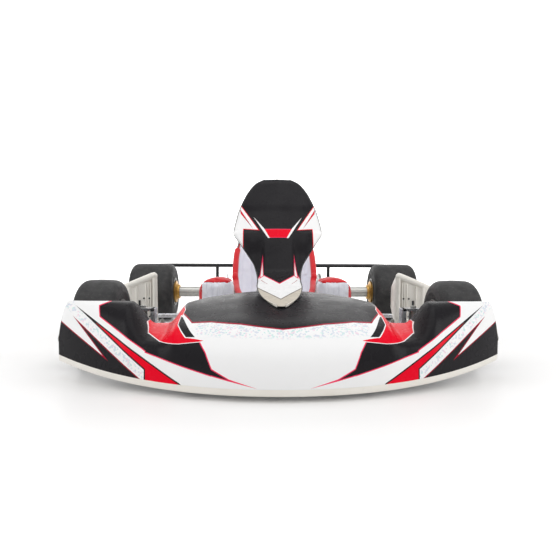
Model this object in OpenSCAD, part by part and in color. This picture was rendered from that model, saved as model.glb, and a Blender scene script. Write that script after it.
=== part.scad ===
// Sprint kart rolling chassis. The kart faces -Y, +Z is up, and the tyres stand on z = 0.
// Left and right are the driver's: the driver faces -Y, so left is +X.

/* [Layout] */
// Distance between the front and rear axles
wheelbase = 1050; // [1046:1:1054]
// Rear axle position along Y
rear_axle_y = 620; // [618:1:622]
// Front axle height above the ground
front_axle_z = 129; // [128:1:130]
// Rear axle height above the ground
rear_axle_z = 140; // [139:1:141]
// Distance of each kingpin from the centre line
kingpin_x = 418; // [416:1:420]

/* [Wheels] */
// Front tyre outer diameter
front_tyre_d = 258; // [254:1:258]
// Front tyre width
front_tyre_w = 124; // [118:1:124]
// Centre plane of each front wheel
front_wheel_x = 540; // [540:1:544]
// Rear tyre outer diameter
rear_tyre_d = 280; // [276:1:280]
// Rear tyre width
rear_tyre_w = 210; // [200:1:210]
// Centre plane of each rear wheel
rear_wheel_x = 595; // [594:1:598]
// Bead seat diameter of the five-inch rims
bead_d = 127; // [126:0.5:127]

/* [Frame] */
// Main rail tube diameter
rail_d = 30; // [28:1:30]
// Cross member tube diameter
member_d = 28; // [25:1:28]
// Height of the frame tube centres
rail_z = 55; // [54:1:56]
// Rail distance from the centre line at the waist
waist_x = 290; // [288:1:292]
// Rail distance from the centre line at the rear axle
tail_x = 330; // [328:1:332]
// Bumper tube diameter
bumper_d = 20; // [18:1:20]
// Bend radius of the frame tubes
bend_r = 70; // [60:5:80]

/* [Rear axle] */
// Axle diameter
axle_d = 50; // [50:1:50]
// Axle length
axle_l = 1040; // [1036:2:1044]
// Running clearance between shaft and bearing, on the radius
running_gap = 0.05; // [0.03:0.01:0.08]
// Brake disc diameter
disc_d = 190; // [184:2:192]
// Brake disc thickness
disc_t = 12; // [10:1:12]
// Distance of the brake disc from the centre line
disc_x = 228; // [226:1:230]
// Sprocket tooth count
sprocket_teeth = 78; // [70:1:80]
// Chain pitch
chain_pitch = 7.774; // [7.77:0.001:7.78]

/* [Steering] */
// Steering wheel outer diameter
wheel_d = 300; // [290:5:300]
// Steering column diameter
column_d = 20; // [18:1:20]
// Stub axle diameter
stub_d = 25; // [25:1:25]
// Kingpin bolt diameter
kingpin_d = 10; // [10:1:10]

/* [Bodywork] */
// Foremost point of the nose
nose_y = -875; // [-875:1:-871]
// Overall width of the front fairing
fairing_w = 1210; // [1200:2:1210]
// Moulded plastic wall thickness
wall = 4; // [3:0.5:4]
// Width of the front panel across its wings
panel_w = 306; // [296:2:306]
// Front panel height above the ground, top edge
panel_top = 604; // [598:1:606]

/* [Seat] */
// Seat shell thickness
seat_t = 5; // [4:0.5:5]
// Seat liner thickness
liner_t = 12; // [10:1:12]

/* [Hidden] */
$fn = 48;

front_axle_y = rear_axle_y - wheelbase;
rail_r = rail_d / 2;
member_r = member_d / 2;
bumper_r = bumper_d / 2;
rail_top = rail_z + rail_r;
axle_r = axle_d / 2;
stub_r = stub_d / 2;
kingpin_r = kingpin_d / 2;
bead_r = bead_d / 2;
hip = fairing_w / 2;

// Steering column axis, from its foot to the wheel centre
column_foot = [0, -420, 80];
column_top = [0, 20, 450];
column_vector = column_top - column_foot;
column_len = norm(column_vector);
column_dir = column_vector / column_len;
column_tilt = atan2(column_dir[1], column_dir[2]);
bush_at = 330;
pitman_at = 85;
pitman_reach = 44;
tie_offset = 24;

// Kingpin barrel and yoke heights
barrel_low = front_axle_z - 37.5;
barrel_high = front_axle_z + 34;
yoke_plate = 8;
yoke_gap = 0.3;

// Spindle arm end, from the kingpin, on the left side
arm_end = [-40, 100, 0];
arm_z = front_axle_z - 33;
rod_end_z = front_axle_z - 21.5;

// Pedals
pedal_y = -595;
pedal_z = 50;
brake_pedal_x = 160;
throttle_pedal_x = -160;
pedal_h = 138;
rod_x = 200;
rod_front = [rod_x, pedal_y, 100];
rod_back = [rod_x, -298, 76];

// Balls over tube joints stand this much proud, so that they cover each mitre
joint_swell = 1.06;
bearing_r = 40;
bearing_w = 22;
caliper_slot = disc_t + 20;
pad_t = 8;

// Rail centre line on the left side, from the tail to the middle of the front hoop
rail_path = [
    [tail_x, 740, rail_z], [tail_x, 430, rail_z], [waist_x, 250, rail_z], [waist_x, -240, rail_z],
    [338, -380, rail_z], [338, -480, rail_z], [290, -600, rail_z], [200, -640, rail_z], [0, -640, rail_z]
];

// ---------- helpers ----------

function unit(v) = v / norm(v);
function mix(a, b, t) = a + (b - a) * t;
function ramp(a, b, x) = let(t = max(0, min(1, (x - a) / (b - a)))) t * t * (3 - 2 * t);

// Catmull-Rom point at t, from 0 to the last index, through a list of vectors
function spline(p, t) =
    let(n = len(p) - 1, i = min(n - 1, floor(t)), f = t - i,
        a = p[max(0, i - 1)], b = p[i], c = p[i + 1], d = p[min(n, i + 2)])
    0.5 * (2 * b + (c - a) * f + (2 * a - 5 * b + 4 * c - d) * f * f + (3 * b - a - 3 * c + d) * f * f * f);

// Moves a grid of points along its surface normal
function offset_grid(g, d) =
    let(rows = len(g) - 1, cols = len(g[0]) - 1)
    [for (r = [0:rows]) [for (c = [0:cols])
        let(across = g[r][min(c + 1, cols)] - g[r][max(c - 1, 0)],
            along = g[min(r + 1, rows)][c] - g[max(r - 1, 0)][c])
        g[r][c] + d * unit(cross(across, along))]];

// Part of a grid, from one row and column to another
function trim_grid(g, r0, r1, c0, c1) = [for (r = [r0:r1]) [for (c = [c0:c1]) g[r][c]]];

function quad(a, b, c, d) = [[a, b, c], [a, c, d]];

// Closed sheet between a front grid and a back grid with the same rows and columns
module sheet(front, back) {
    rows = len(front) - 1;
    cols = len(front[0]) - 1;
    count = (rows + 1) * (cols + 1);
    function f(r, c) = r * (cols + 1) + c;
    function b(r, c) = count + r * (cols + 1) + c;
    faces = concat(
        [for (r = [0:rows - 1], c = [0:cols - 1])
            each quad(f(r, c), f(r + 1, c), f(r + 1, c + 1), f(r, c + 1))],
        [for (r = [0:rows - 1], c = [0:cols - 1])
            each quad(b(r, c), b(r, c + 1), b(r + 1, c + 1), b(r + 1, c))],
        [for (c = [0:cols - 1]) each quad(f(0, c), f(0, c + 1), b(0, c + 1), b(0, c))],
        [for (c = [0:cols - 1]) each quad(f(rows, c + 1), f(rows, c), b(rows, c), b(rows, c + 1))],
        [for (r = [0:rows - 1]) each quad(f(r + 1, 0), f(r, 0), b(r, 0), b(r + 1, 0))],
        [for (r = [0:rows - 1]) each quad(f(r, cols), f(r + 1, cols), b(r + 1, cols), b(r, cols))]);
    polyhedron(concat([for (r = front) each r], [for (r = back) each r]), faces);
}

// Solid rod between two points
module rod(a, b, r) {
    v = b - a;
    translate(a)
        rotate([0, acos(v[2] / norm(v)), atan2(v[1], v[0])])
            cylinder(h = norm(v), r = r);
}

// Path with every corner turned into an arc of about 30 degree steps
function bent_path(path, bend) =
    let(last = len(path) - 1)
    concat([path[0]],
        [for (i = [1:last - 1])
            let(u = unit(path[i] - path[i - 1]), w = unit(path[i + 1] - path[i]),
                turn = acos(max(-1, min(1, u * w))), steps = ceil(turn / 30),
                inward = unit(w - u * (u * w)),
                centre = path[i] - u * bend * tan(turn / 2) + inward * bend)
            each [for (k = [0:steps])
                centre + bend * (u * sin(turn * k / steps) - inward * cos(turn * k / steps))]],
        [path[last]]);

// Bent tube: short straight rods with a ball over each joint
module tube_run(path, r, bend) {
    points = bent_path(path, bend);
    last = len(points) - 1;
    for (i = [0:last - 1]) rod(points[i], points[i + 1], r);
    for (i = [1:last - 1]) translate(points[i]) sphere(r * joint_swell);
}

// Straight rods from point to point, with a ball over each corner
module corner_run(path, r) {
    last = len(path) - 1;
    for (i = [0:last - 1]) rod(path[i], path[i + 1], r);
    for (i = [1:last - 1]) translate(path[i]) sphere(r * joint_swell);
}

// Places children with +Z along the axle direction +X
module along_x() { rotate([0, 90, 0]) children(); }

// Ring about the X axis, centred on the origin
module ring_x(outer, inner, width) {
    along_x()
        difference() {
            cylinder(h = width, r = outer, center = true);
            cylinder(h = width + 2, r = inner, center = true);
        }
}

// Places children in the column's own axes: +Z runs up the column
module on_column(at) {
    translate(column_foot + column_dir * at)
        rotate([-column_tilt, 0, 0])
            children();
}

module mirror_pair() {
    children();
    mirror([1, 0, 0]) children();
}

weld_room = 1.2;

// The rails' straight runs, which every joint of the frame meets
module rail_runs(slack) {
    mirror_pair()
        for (i = [0:len(rail_path) - 2])
            rod(rail_path[i], rail_path[i + 1], rail_r + slack);
}

// Cuts children back to the skin of both rails, with room for the weld
module fish_mouth(slack = 0) {
    difference() {
        children();
        rail_runs(slack);
    }
}

// ---------- frame ----------

module frame_rail_left() { color("gainsboro") tube_run(rail_path, rail_r, bend_r); }
module frame_rail_right() { color("gainsboro") mirror([1, 0, 0]) frame_rail_left(); }

// Straight tube across the frame at a station along Y
module member_solid(y, reach) {
    rod([-reach, y, rail_z], [reach, y, rail_z], member_r);
}

member_front_y = front_axle_y;
member_seat_y = 40;
member_rear_y = 722;

module front_cross_member() { color("gainsboro") fish_mouth() member_solid(member_front_y, 330); }
module seat_cross_member() { color("gainsboro") fish_mouth() member_solid(member_seat_y, waist_x); }
module rear_cross_member() { color("gainsboro") fish_mouth() member_solid(member_rear_y, tail_x); }

// C-shaped bracket that holds one kingpin between two plates
module kingpin_yoke() {
    half = 20;
    web_x = kingpin_x - 40;
    plates = [barrel_low - yoke_gap - yoke_plate, barrel_high + yoke_gap];
    difference() {
        union() {
            translate([web_x, front_axle_y - half, rail_z + 3])
                cube([14, 2 * half, plates[1] + yoke_plate - rail_z - 3]);
            translate([web_x - 34, front_axle_y - half, rail_z - 8])
                cube([48, 2 * half, 20]);
            for (z = plates) {
                translate([web_x, front_axle_y - half, z])
                    cube([40, 2 * half, yoke_plate]);
                translate([kingpin_x, front_axle_y, z])
                    cylinder(h = yoke_plate, r = half);
            }
        }
        translate([kingpin_x, front_axle_y, 0])
            cylinder(h = 300, r = kingpin_r + running_gap);
        // Pocket that the steering arm swings in
        translate([kingpin_x, front_axle_y, barrel_low - yoke_gap]) {
            cylinder(h = 13, r = 34);
            translate([web_x - kingpin_x - 1, 14, 0]) cube([30, 10, 13]);
        }
        rod(rail_path[4], rail_path[5], rail_r);
    }
}

module kingpin_yokes() { color("gainsboro") mirror_pair() kingpin_yoke(); }

module kingpin_bolts() {
    low = barrel_low - yoke_gap - yoke_plate;
    high = barrel_high + yoke_gap + yoke_plate;
    color("silver") mirror_pair()
        translate([kingpin_x, front_axle_y, 0]) {
            translate([0, 0, low - 8]) cylinder(h = high - low + 8, r = kingpin_r);
            translate([0, 0, high]) cylinder(h = 7, r = 9, $fn = 6);
            translate([0, 0, low - 8]) cylinder(h = 8, r = 9, $fn = 6);
        }
}

strut_y = 455;
strut_z = 185;
seat_tab_x = 192;

module seat_struts() {
    color("gainsboro") fish_mouth() mirror_pair() {
        rod([tail_x - 2, strut_y, rail_z + 4], [seat_tab_x + 8, strut_y, strut_z - 14], 8);
        translate([seat_tab_x + 3, strut_y, strut_z]) along_x() cylinder(h = 6, r = 17, center = true);
    }
}

module seat_bolts() {
    color("silver") mirror_pair()
        translate([seat_tab_x + 6, strut_y, strut_z]) along_x() cylinder(h = 5, r = 7, $fn = 6);
}

module bearing_carriers() {
    color("silver") fish_mouth() mirror_pair()
        translate([tail_x, rear_axle_y, rear_axle_z])
            difference() {
                union() {
                    along_x() cylinder(h = 24, r = bearing_r + 10, center = true);
                    translate([-12, -44, rail_z - rear_axle_z]) cube([24, 88, 50]);
                }
                along_x() cylinder(h = 26, r = bearing_r, center = true);
            }
}

module axle_bearings() {
    color("dimgray") mirror_pair()
        translate([tail_x, rear_axle_y, rear_axle_z])
            ring_x(bearing_r, axle_r + running_gap, bearing_w);
}

tray_z = 37.5;
tray_t = 2;

module floor_tray() {
    edge = [[waist_x - 12, 30], [waist_x - 12, -240], [328, -425], [278, -590], [190, -630]];
    color("dimgray") translate([0, 0, tray_z])
        linear_extrude(tray_t)
            polygon(concat(edge, [for (i = [len(edge) - 1:-1:0]) [-edge[i][0], edge[i][1]]]));
}

// ---------- bumpers ----------

nose_bar_y = -775;
nose_bar_z = rail_z;

nose_loop_path = [
    [-120, -640, rail_z], [-120, -694, 132], [-120, -748, 132],
    [120, -748, 132], [120, -694, 132], [120, -640, rail_z]
];

module front_bumper() {
    color("gainsboro") fish_mouth(weld_room) {
        corner_run([[-225, -631, rail_z], [-225, nose_bar_y, rail_z],
                    [225, nose_bar_y, rail_z], [225, -631, rail_z]], bumper_r);
        corner_run(nose_loop_path, bumper_r);
    }
}

side_bar_x = 570;
side_bar_y = [-120, 330];
pod_stay_y = [-30, 230];

module side_bumper() {
    fish_mouth() {
        tube_run([[waist_x + 4, side_bar_y[0], rail_z], [side_bar_x, side_bar_y[0], rail_z],
                  [side_bar_x, side_bar_y[1], rail_z], [305, side_bar_y[1], rail_z]], bumper_r, bend_r);
        tube_run([[side_bar_x, pod_stay_y[0], rail_z], [side_bar_x, pod_stay_y[0], 150],
                  [side_bar_x, pod_stay_y[1], 150], [side_bar_x, pod_stay_y[1], rail_z]], bumper_r, 40);
        for (y = [20, 180])
            rod([side_bar_x, y, 150], [side_bar_x, y, pod_ceiling(y) - 1.2], 7);
    }
}

module side_bumper_left() { color("gainsboro") side_bumper(); }
module side_bumper_right() { color("gainsboro") mirror([1, 0, 0]) side_bumper(); }

tail_bar_y = 865;
tail_bar_z = 265;
upright_x = 303;

module rear_bumper() {
    color("black") {
        for (z = [tail_bar_z, 130]) rod([-600, tail_bar_y, z], [600, tail_bar_y, z], bumper_r);
        for (s = [-1, 1])
            corner_run([[s * upright_x, tail_bar_y, tail_bar_z], [s * upright_x, tail_bar_y, rail_z],
                        [s * tail_x, 742.5, rail_z]], bumper_r - 1.5);
    }
}

// ---------- front fairing ----------

nose_arc = 0.000703;
lip_low = 32;
hump_edge = 262;
notch_x = 322;
lobe_edge = 398;
notch_z = 151;
lobe_z = 213;

// Plan position and height of the fairing's lower edge at a distance from the centre line
function lip_y(a) = nose_y + nose_arc * a * a;
function lip_z(a) = lip_low + 32 * pow(a / 600, 3);

// Height and position of the upper rear edge: hump, notch, side lobe, rounded end
function crest_z(a) =
    a < notch_x ? mix(227 - 27 * pow(a / 267, 2), notch_z, ramp(hump_edge - 4, 306, a))
    : mix(mix(notch_z, lobe_z, ramp(338, lobe_edge, a)), 112, pow(max(0, (a - hip + 38) / 38), 2));
function crest_y(a) =
    a < notch_x ? mix(-455 - 0.0012 * a * a, -622, ramp(hump_edge - 40, notch_x, a))
    : mix(-622, -646 + 26 * pow(max(0, (a - 500) / 100), 2), ramp(notch_x, lobe_edge, a));

// Face shape from lower edge to upper rear edge: share of the way back, share of the way up
hump_face = [[0, 0], [0, 0.1], [0.004, 0.22], [0.014, 0.33], [0.032, 0.42], [0.07, 0.52], [0.146, 0.655],
             [0.25, 0.735], [0.4, 0.805], [0.58, 0.88], [0.78, 0.95], [1, 1]];
notch_face = [[0, 0], [0.01, 0.14], [0.025, 0.3], [0.045, 0.45], [0.075, 0.58], [0.115, 0.68], [0.18, 0.75],
              [0.3, 0.81], [0.45, 0.87], [0.62, 0.92], [0.82, 0.97], [1, 1]];
lobe_face = [[0, 0], [0.01, 0.1], [0.03, 0.22], [0.06, 0.33], [0.11, 0.45], [0.18, 0.57], [0.27, 0.69],
             [0.38, 0.79], [0.5, 0.87], [0.64, 0.935], [0.82, 0.98], [1, 1]];

function face_share(i, a) =
    a < notch_x ? mix(hump_face[i], notch_face[i], ramp(hump_edge - 30, notch_x - 14, a))
    : mix(notch_face[i], lobe_face[i], ramp(notch_x + 12, lobe_edge + 14, a));

function fairing_column(x) =
    let(a = abs(x), y0 = lip_y(a), z0 = lip_z(a))
    concat([[x, y0 + 30, z0 - 15], [x, y0 + 9, z0 - 14], [x, y0 + 1, z0 - 7]],
        [for (i = [0:len(hump_face) - 1])
            let(f = face_share(i, a))
            [x, mix(y0, crest_y(a), f[0]), mix(z0, crest_z(a), f[1])]]);

fairing_stations = concat([for (s = [-1:0.05:-0.8]) s * hip], [for (s = [-0.77:0.03:0.77]) s * hip],
    [for (s = [0.8:0.05:1]) s * hip]);

function transpose(g) = [for (r = [0:len(g[0]) - 1]) [for (c = [0:len(g) - 1]) g[c][r]]];

module front_fairing() {
    skin = transpose([for (x = fairing_stations) fairing_column(x)]);
    color("whitesmoke") sheet(skin, offset_grid(skin, -wall));
}

bracket_x = 120;

module fairing_brackets() {
    color("dimgray") mirror_pair()
        difference() {
            translate([bracket_x - 14, -850, rail_z - 14]) cube([28, 90, 28]);
            translate([bracket_x, nose_bar_y, nose_bar_z])
                along_x() cylinder(h = 40, r = bumper_r, center = true);
        }
}

// ---------- front panel ----------

panel_foot = 180;
panel_foot_y = -455;
panel_lean = 0.767;
panel_bow = 0.0022;
chin_reach = 210;
chin_lift = 22;
chin_taper = 0.128;
chin_start = 110;

// Half width of the panel at a height: chin, neck, winged shoulders, visor
panel_outline = [[0, 14], [24, 44], [52, 70], [70, 67], [96, 71], [122, 79], [152, 100], [183, 122],
                 [206, 140], [222, 153], [240, 151], [268, 145], [300, 138], [337, 124], [370, 108],
                 [396, 90], [412, 74], [424, 50]];
function panel_half(h) = lookup(h, panel_outline) * panel_w / 306;

// The chin below chin_start is drawn out forwards over the fairing
function panel_point(s, h) =
    let(x = s * panel_half(h), kick = pow(max(0, 1 - h / chin_start), 1.5))
    [x * (1 - chin_taper * kick), panel_foot_y + panel_lean * h + panel_bow * x * x - chin_reach * kick,
     panel_foot + h + chin_lift * kick];

module front_panel() {
    rise = panel_top - panel_foot;
    skin = [for (i = [0:24]) [for (s = [-1:0.125:1]) panel_point(s, rise * i / 24)]];
    color("black") sheet(skin, offset_grid(skin, -wall));
}

stay_top = [58, -232, 400];
stay_foot = [38, -194, 268];

module front_panel_bracket() {
    r = 6;
    foot = mix(stay_foot, stay_top, 0.1);
    color("dimgray") {
        mirror_pair() {
            rod(foot, stay_top, r);
            translate(stay_top) sphere(r * joint_swell);
            rod([26, stay_top[1], stay_top[2]], [26, stay_top[1] - 42, stay_top[2]], 5);
        }
        rod([-stay_top[0], stay_top[1], stay_top[2]], stay_top, r);
    }
}

// ---------- side pods ----------

pod_x = [428, 640];
pod_y = [-180, 430];
pod_z = [88, 270];
pod_back_x = 548;
pod_fall = 4;
pod_flat = 60;

// Height of the pod's inner top above a point of its length
function pod_ceiling(y) = pod_z[1] - wall - (y - pod_y[0] - wall - pod_flat) * tan(pod_fall);

// Upright block with rounded corners in plan
module round_block(x, y, z, r) {
    corners = [[x[1] - r, y[1] - r, 0], [x[0] + r, y[1] - r, 90],
               [x[0] + r, y[0] + r, 180], [x[1] - r, y[0] + r, 270]];
    translate([0, 0, z[0]])
        linear_extrude(z[1] - z[0])
            polygon([for (k = corners, a = [0:15:90]) [k[0] + r * cos(k[2] + a), k[1] + r * sin(k[2] + a)]]);
}

// Pod block set in from the outer skin: its inner side runs outwards and its top falls towards the back
module pod_block(inset, low) {
    x = [pod_x[0] + inset, pod_x[1] - inset];
    y = [pod_y[0] + inset, pod_y[1] - inset];
    top = pod_z[1] - inset;
    difference() {
        round_block(x, y, [low, top], 34 - inset);
        translate([0, 0, low - 1])
            linear_extrude(top - low + 2)
                polygon([[x[0] - 20, y[0] + 40], [x[0], y[0] + 40],
                         [pod_back_x + inset, y[1] + 1], [x[0] - 20, y[1] + 1]]);
        translate([x[0] - 20, y[0] + pod_flat, top])
            rotate([-pod_fall, 0, 0])
                cube([300, 700, 100]);
    }
}

module side_pod() {
    difference() {
        pod_block(0, pod_z[0]);
        pod_block(wall, pod_z[0] - 5);
    }
}

module side_pod_left() { color("oldlace") side_pod(); }
module side_pod_right() { color("oldlace") mirror([1, 0, 0]) side_pod(); }

// ---------- seat ----------

// Centre line stations: position along Y, height, half width, wing depth
seat_line = [
    [100, 118, 118, 34], [155, 84, 150, 80], [225, 60, 168, 122], [310, 47, 176, 150], [395, 51, 181, 172],
    [468, 82, 184, 186], [518, 138, 184, 186], [550, 208, 184, 172], [576, 284, 182, 138],
    [598, 362, 172, 94], [617, 440, 156, 58], [632, 505, 132, 36], [640, 540, 104, 24]
];
seat_rows = 36;
seat_cols = 24;

// Seat surface that faces the driver: a boxy U swept along the centre line
function seat_row(t) =
    let(p = spline(seat_line, t), step = 0.02, last = len(seat_line) - 1,
        ahead = spline(seat_line, min(last, t + step)), behind = spline(seat_line, max(0, t - step)),
        run = unit([ahead[0] - behind[0], ahead[1] - behind[1]]))
    [for (c = [0:seat_cols])
        let(angle = -90 + 180 * c / seat_cols,
            x = p[2] * sign(angle) * pow(abs(sin(angle)), 0.7),
            rise = p[3] * (1 - pow(max(0, cos(angle)), 0.7)))
        [x, p[0] - run[1] * rise, p[1] + run[0] * rise]];

function seat_grid() = [for (r = [0:seat_rows]) seat_row((len(seat_line) - 1) * r / seat_rows)];

module seat_shell() {
    face = seat_grid();
    color("darkslategray") sheet(face, offset_grid(face, -seat_t));
}

module seat_liner() {
    face = trim_grid(seat_grid(), 1, seat_rows - 1, 2, seat_cols - 2);
    color("lavender") sheet(offset_grid(face, liner_t), offset_grid(face, 0.6));
}

bolster_x = [182, 312];
bolster_y = [120, 258];
bolster_z = [rail_top + 2, 230];

// Padded hip bolster with a flat top and a round outer top corner
module seat_bolster() {
    r = 16;
    low = bolster_z[0] + r;
    spots = [[bolster_x[0] + r, low], [bolster_x[1] - r, low], [bolster_x[1] - 34, bolster_z[1] - 34],
             [bolster_x[0] + r, bolster_z[1] - r]];
    hull()
        for (i = [0:3], y = [bolster_y[0] + r, bolster_y[1] - r])
            translate([spots[i][0], y, spots[i][1]]) sphere(i == 2 ? 34 : r, $fn = 32);
}

module seat_bolster_left() { color("lavender") seat_bolster(); }
module seat_bolster_right() { color("lavender") mirror([1, 0, 0]) seat_bolster(); }

// ---------- fuel tank ----------

tank_x = 104;
tank_y = [-250, 0];
tank_z = [41, 184];
cap_y = -45;

module fuel_tank() {
    color("white", 0.8) {
        round_block([-tank_x, tank_x], tank_y, tank_z, 20);
        translate([0, cap_y, tank_z[1] - 4]) cylinder(h = 12, r = 20);
    }
}

module fuel_cap() {
    color("red") translate([0, cap_y, tank_z[1] + 8]) cylinder(h = 14, r = 27);
}

// ---------- steering ----------

column_r = column_d / 2;
foot_at = 8;

module support_legs() {
    bush = column_foot + column_dir * bush_at;
    mirror_pair() rod([150, member_front_y, rail_z + 6], bush + [20, 0, 0], 9);
}

module steering_support() {
    color("dimgray") difference() {
        union() {
            support_legs();
            on_column(bush_at) cylinder(h = 24, r = 25, center = true);
            on_column(foot_at) cylinder(h = 16, r = 19, center = true);
            translate([-15, member_front_y - 6, rail_z + 8]) cube([30, 26, 14]);
        }
        member_solid(member_front_y, 330);
        on_column(bush_at) cylinder(h = 60, r = column_r + 6, center = true);
        on_column(0) cylinder(h = 60, r = column_r + running_gap, center = true);
        translate([0, 0, -50 + rail_z]) cube([100, 2000, 1], center = true);
    }
}

module steering_bush() {
    color("ivory") on_column(bush_at)
        difference() {
            cylinder(h = 28, r = column_r + 6, center = true);
            cylinder(h = 30, r = column_r + running_gap, center = true);
        }
}

boss_len = 26;
plate_t = 4;

module steering_column() {
    color("silver") {
        on_column(0) cylinder(h = column_len - plate_t - boss_len / 2, r = column_r);
        difference() {
            on_column(pitman_at)
                linear_extrude(8, center = true)
                    hull() {
                        circle(17);
                        for (s = [-1, 1]) translate([s * tie_offset, pitman_reach]) circle(9);
                    }
            on_column(pitman_at)
                for (s = [-1, 1])
                    translate([s * tie_offset, pitman_reach, 0]) cylinder(h = 20, r = 4, center = true);
        }
    }
}

module wheel_boss() {
    color("silver") on_column(column_len - plate_t - boss_len)
        difference() {
            cylinder(h = boss_len, r = 27);
            translate([0, 0, -1]) cylinder(h = boss_len / 2 + 1, r = column_r);
        }
}

module steering_wheel() {
    grip_r = 13;
    ring_r = wheel_d / 2 - grip_r;
    color("black") on_column(column_len) {
        rotate_extrude() translate([ring_r, 0]) circle(grip_r);
        translate([0, 0, -plate_t]) cylinder(h = plate_t, r = 32);
        for (a = [90, 210, 330])
            rotate([0, 0, a]) translate([20, -15, -plate_t]) cube([ring_r - 24, 30, plate_t]);
    }
}

// Everything on the left spindle: barrel, stub axle, steering arm and its bolt
module spindle() {
    arm_spot = [kingpin_x, front_axle_y, arm_z] + arm_end;
    difference() {
        union() {
            translate([kingpin_x, front_axle_y, barrel_low]) cylinder(h = barrel_high - barrel_low, r = 14);
            translate([kingpin_x, front_axle_y, front_axle_z]) along_x() cylinder(h = 36, r = 17);
            translate([kingpin_x, front_axle_y, front_axle_z]) along_x() cylinder(h = 128, r = stub_r);
            translate([531, front_axle_y, front_axle_z]) along_x() cylinder(h = 12, r = 20, $fn = 6);
            translate([0, 0, arm_z - 4])
                linear_extrude(8)
                    hull() {
                        translate([kingpin_x, front_axle_y]) circle(13);
                        translate([arm_spot[0], arm_spot[1]]) circle(10);
                    }
        }
        translate([kingpin_x, front_axle_y, 0]) cylinder(h = 300, r = kingpin_r + running_gap);
    }
    translate([arm_spot[0], arm_spot[1], arm_z + 4]) cylinder(h = 24, r = 4);
    translate([arm_spot[0], arm_spot[1], rod_end_z + 6.6]) cylinder(h = 6, r = 7.5, $fn = 6);
}

module spindle_left() { color("silver") spindle(); }
module spindle_right() { color("silver") mirror([1, 0, 0]) spindle(); }

// Tie rod of the left side, from its rod end on the spindle arm to its open end below the pitman
module tie_rod() {
    outer = [kingpin_x + arm_end[0], front_axle_y + arm_end[1], rod_end_z];
    inner = column_foot + column_dir * (pitman_at - 21)
        + [tie_offset, pitman_reach * cos(column_tilt), -pitman_reach * sin(column_tilt)];
    difference() {
        union() {
            rod(inner, outer, 6);
            rod(mix(inner, outer, 0.14), mix(inner, outer, 0.86), 8);
            translate(outer) cylinder(h = 12, r = 11, center = true);
            translate(inner) rotate([-column_tilt, 0, 0]) cylinder(h = 12, r = 9, center = true);
        }
        translate(outer) cylinder(h = 40, r = 4 + running_gap, center = true);
    }
}

module tie_rod_left() { color("silver") tie_rod(); }
module tie_rod_right() { color("silver") mirror([1, 0, 0]) tie_rod(); }

// ---------- wheels ----------

// Tyre cross-section: x is the radius, y runs along the axle
function tyre_section(out, half, shoulder, t) =
    let(side = [for (a = [0:15:90]) [out - shoulder + shoulder * sin(a), half - shoulder + shoulder * cos(a)]],
        core = [for (a = [0:30:90]) [out - t - shoulder / 2 + shoulder / 2 * sin(a),
                                    half - t - shoulder / 2 + shoulder / 2 * cos(a)]],
        outer = concat([[bead_r + 0.2, half - 4.4], [bead_r + 7, half - 4.4], [bead_r + 15, half - 1]], side),
        inner = concat([[bead_r + 0.2, half - 16], [bead_r + 12, half - 13]], core))
    concat(outer, [for (i = [len(outer) - 1:-1:0]) [outer[i][0], -outer[i][1]]],
        [for (p = inner) [p[0], -p[1]]], [for (i = [len(inner) - 1:-1:0]) inner[i]]);

module tyre(out, half, shoulder, t) {
    along_x() rotate_extrude($fn = 96) polygon(tyre_section(out, half, shoulder, t));
}

// Rim with flanges and a mounting disc at a place along its width
module rim(half, disc_at, disc_r, disc_hole) {
    along_x() {
        rotate_extrude($fn = 96)
            polygon([
                [bead_r, 4 - half], [bead_r + 6, 4 - half], [bead_r + 6, -half], [bead_r - 4, -half],
                [bead_r - 4, 18 - half], [bead_r - 9, 24 - half], [bead_r - 9, half - 24], [bead_r - 4, half - 18],
                [bead_r - 4, half], [bead_r + 6, half], [bead_r + 6, half - 4], [bead_r, half - 4],
                [bead_r, half - 18], [bead_r - 5, half - 24], [bead_r - 5, 24 - half], [bead_r, 18 - half]]);
        translate([0, 0, disc_at])
            difference() {
                cylinder(h = 5, r = disc_r);
                translate([0, 0, -1]) cylinder(h = 7, r = disc_hole);
            }
    }
}

module on_front_wheel() { translate([front_wheel_x, front_axle_y, front_axle_z]) children(); }
module on_rear_wheel() { translate([rear_wheel_x, rear_axle_y, rear_axle_z]) children(); }

module front_hub() {
    difference() {
        union() {
            translate([457, front_axle_y, front_axle_z]) along_x() cylinder(h = 73, r = 27);
            translate([508, front_axle_y, front_axle_z]) along_x() cylinder(h = 10, r = 46);
            for (a = [90, 210, 330])
                translate([518, front_axle_y, front_axle_z]) rotate([a, 0, 0]) translate([0, 0, 37])
                    along_x() cylinder(h = 14, r = 4);
        }
        translate([400, front_axle_y, front_axle_z]) along_x() cylinder(h = 200, r = stub_r + running_gap);
    }
}

// Front rim with holes for the three hub studs
module front_rim() {
    difference() {
        on_front_wheel() rim(front_tyre_w / 2, 518.1 - front_wheel_x, bead_r - 7, 28);
        for (a = [90, 210, 330])
            translate([510, front_axle_y, front_axle_z]) rotate([a, 0, 0]) translate([0, 0, 37])
                along_x() cylinder(h = 30, r = 4.3);
    }
}

module front_tyre() { on_front_wheel() tyre(front_tyre_d / 2, front_tyre_w / 2, 20, 8); }

module front_hub_left() { color("silver") front_hub(); }
module front_hub_right() { color("silver") mirror([1, 0, 0]) front_hub(); }
module front_rim_left() { color("gray") front_rim(); }
module front_rim_right() { color("gray") mirror([1, 0, 0]) front_rim(); }
module front_tyre_left() { color("black") front_tyre(); }
module front_tyre_right() { color("black") mirror([1, 0, 0]) front_tyre(); }

// ---------- rear axle ----------

hub_x = [468, 512];
hub_flange_x = 484;
rim_disc_x = 494;

module on_axle(x) { translate([x, rear_axle_y, rear_axle_z]) children(); }

module rear_axle() {
    color("silver") on_axle(0) ring_x(axle_r, axle_r - 4, axle_l);
}

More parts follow.
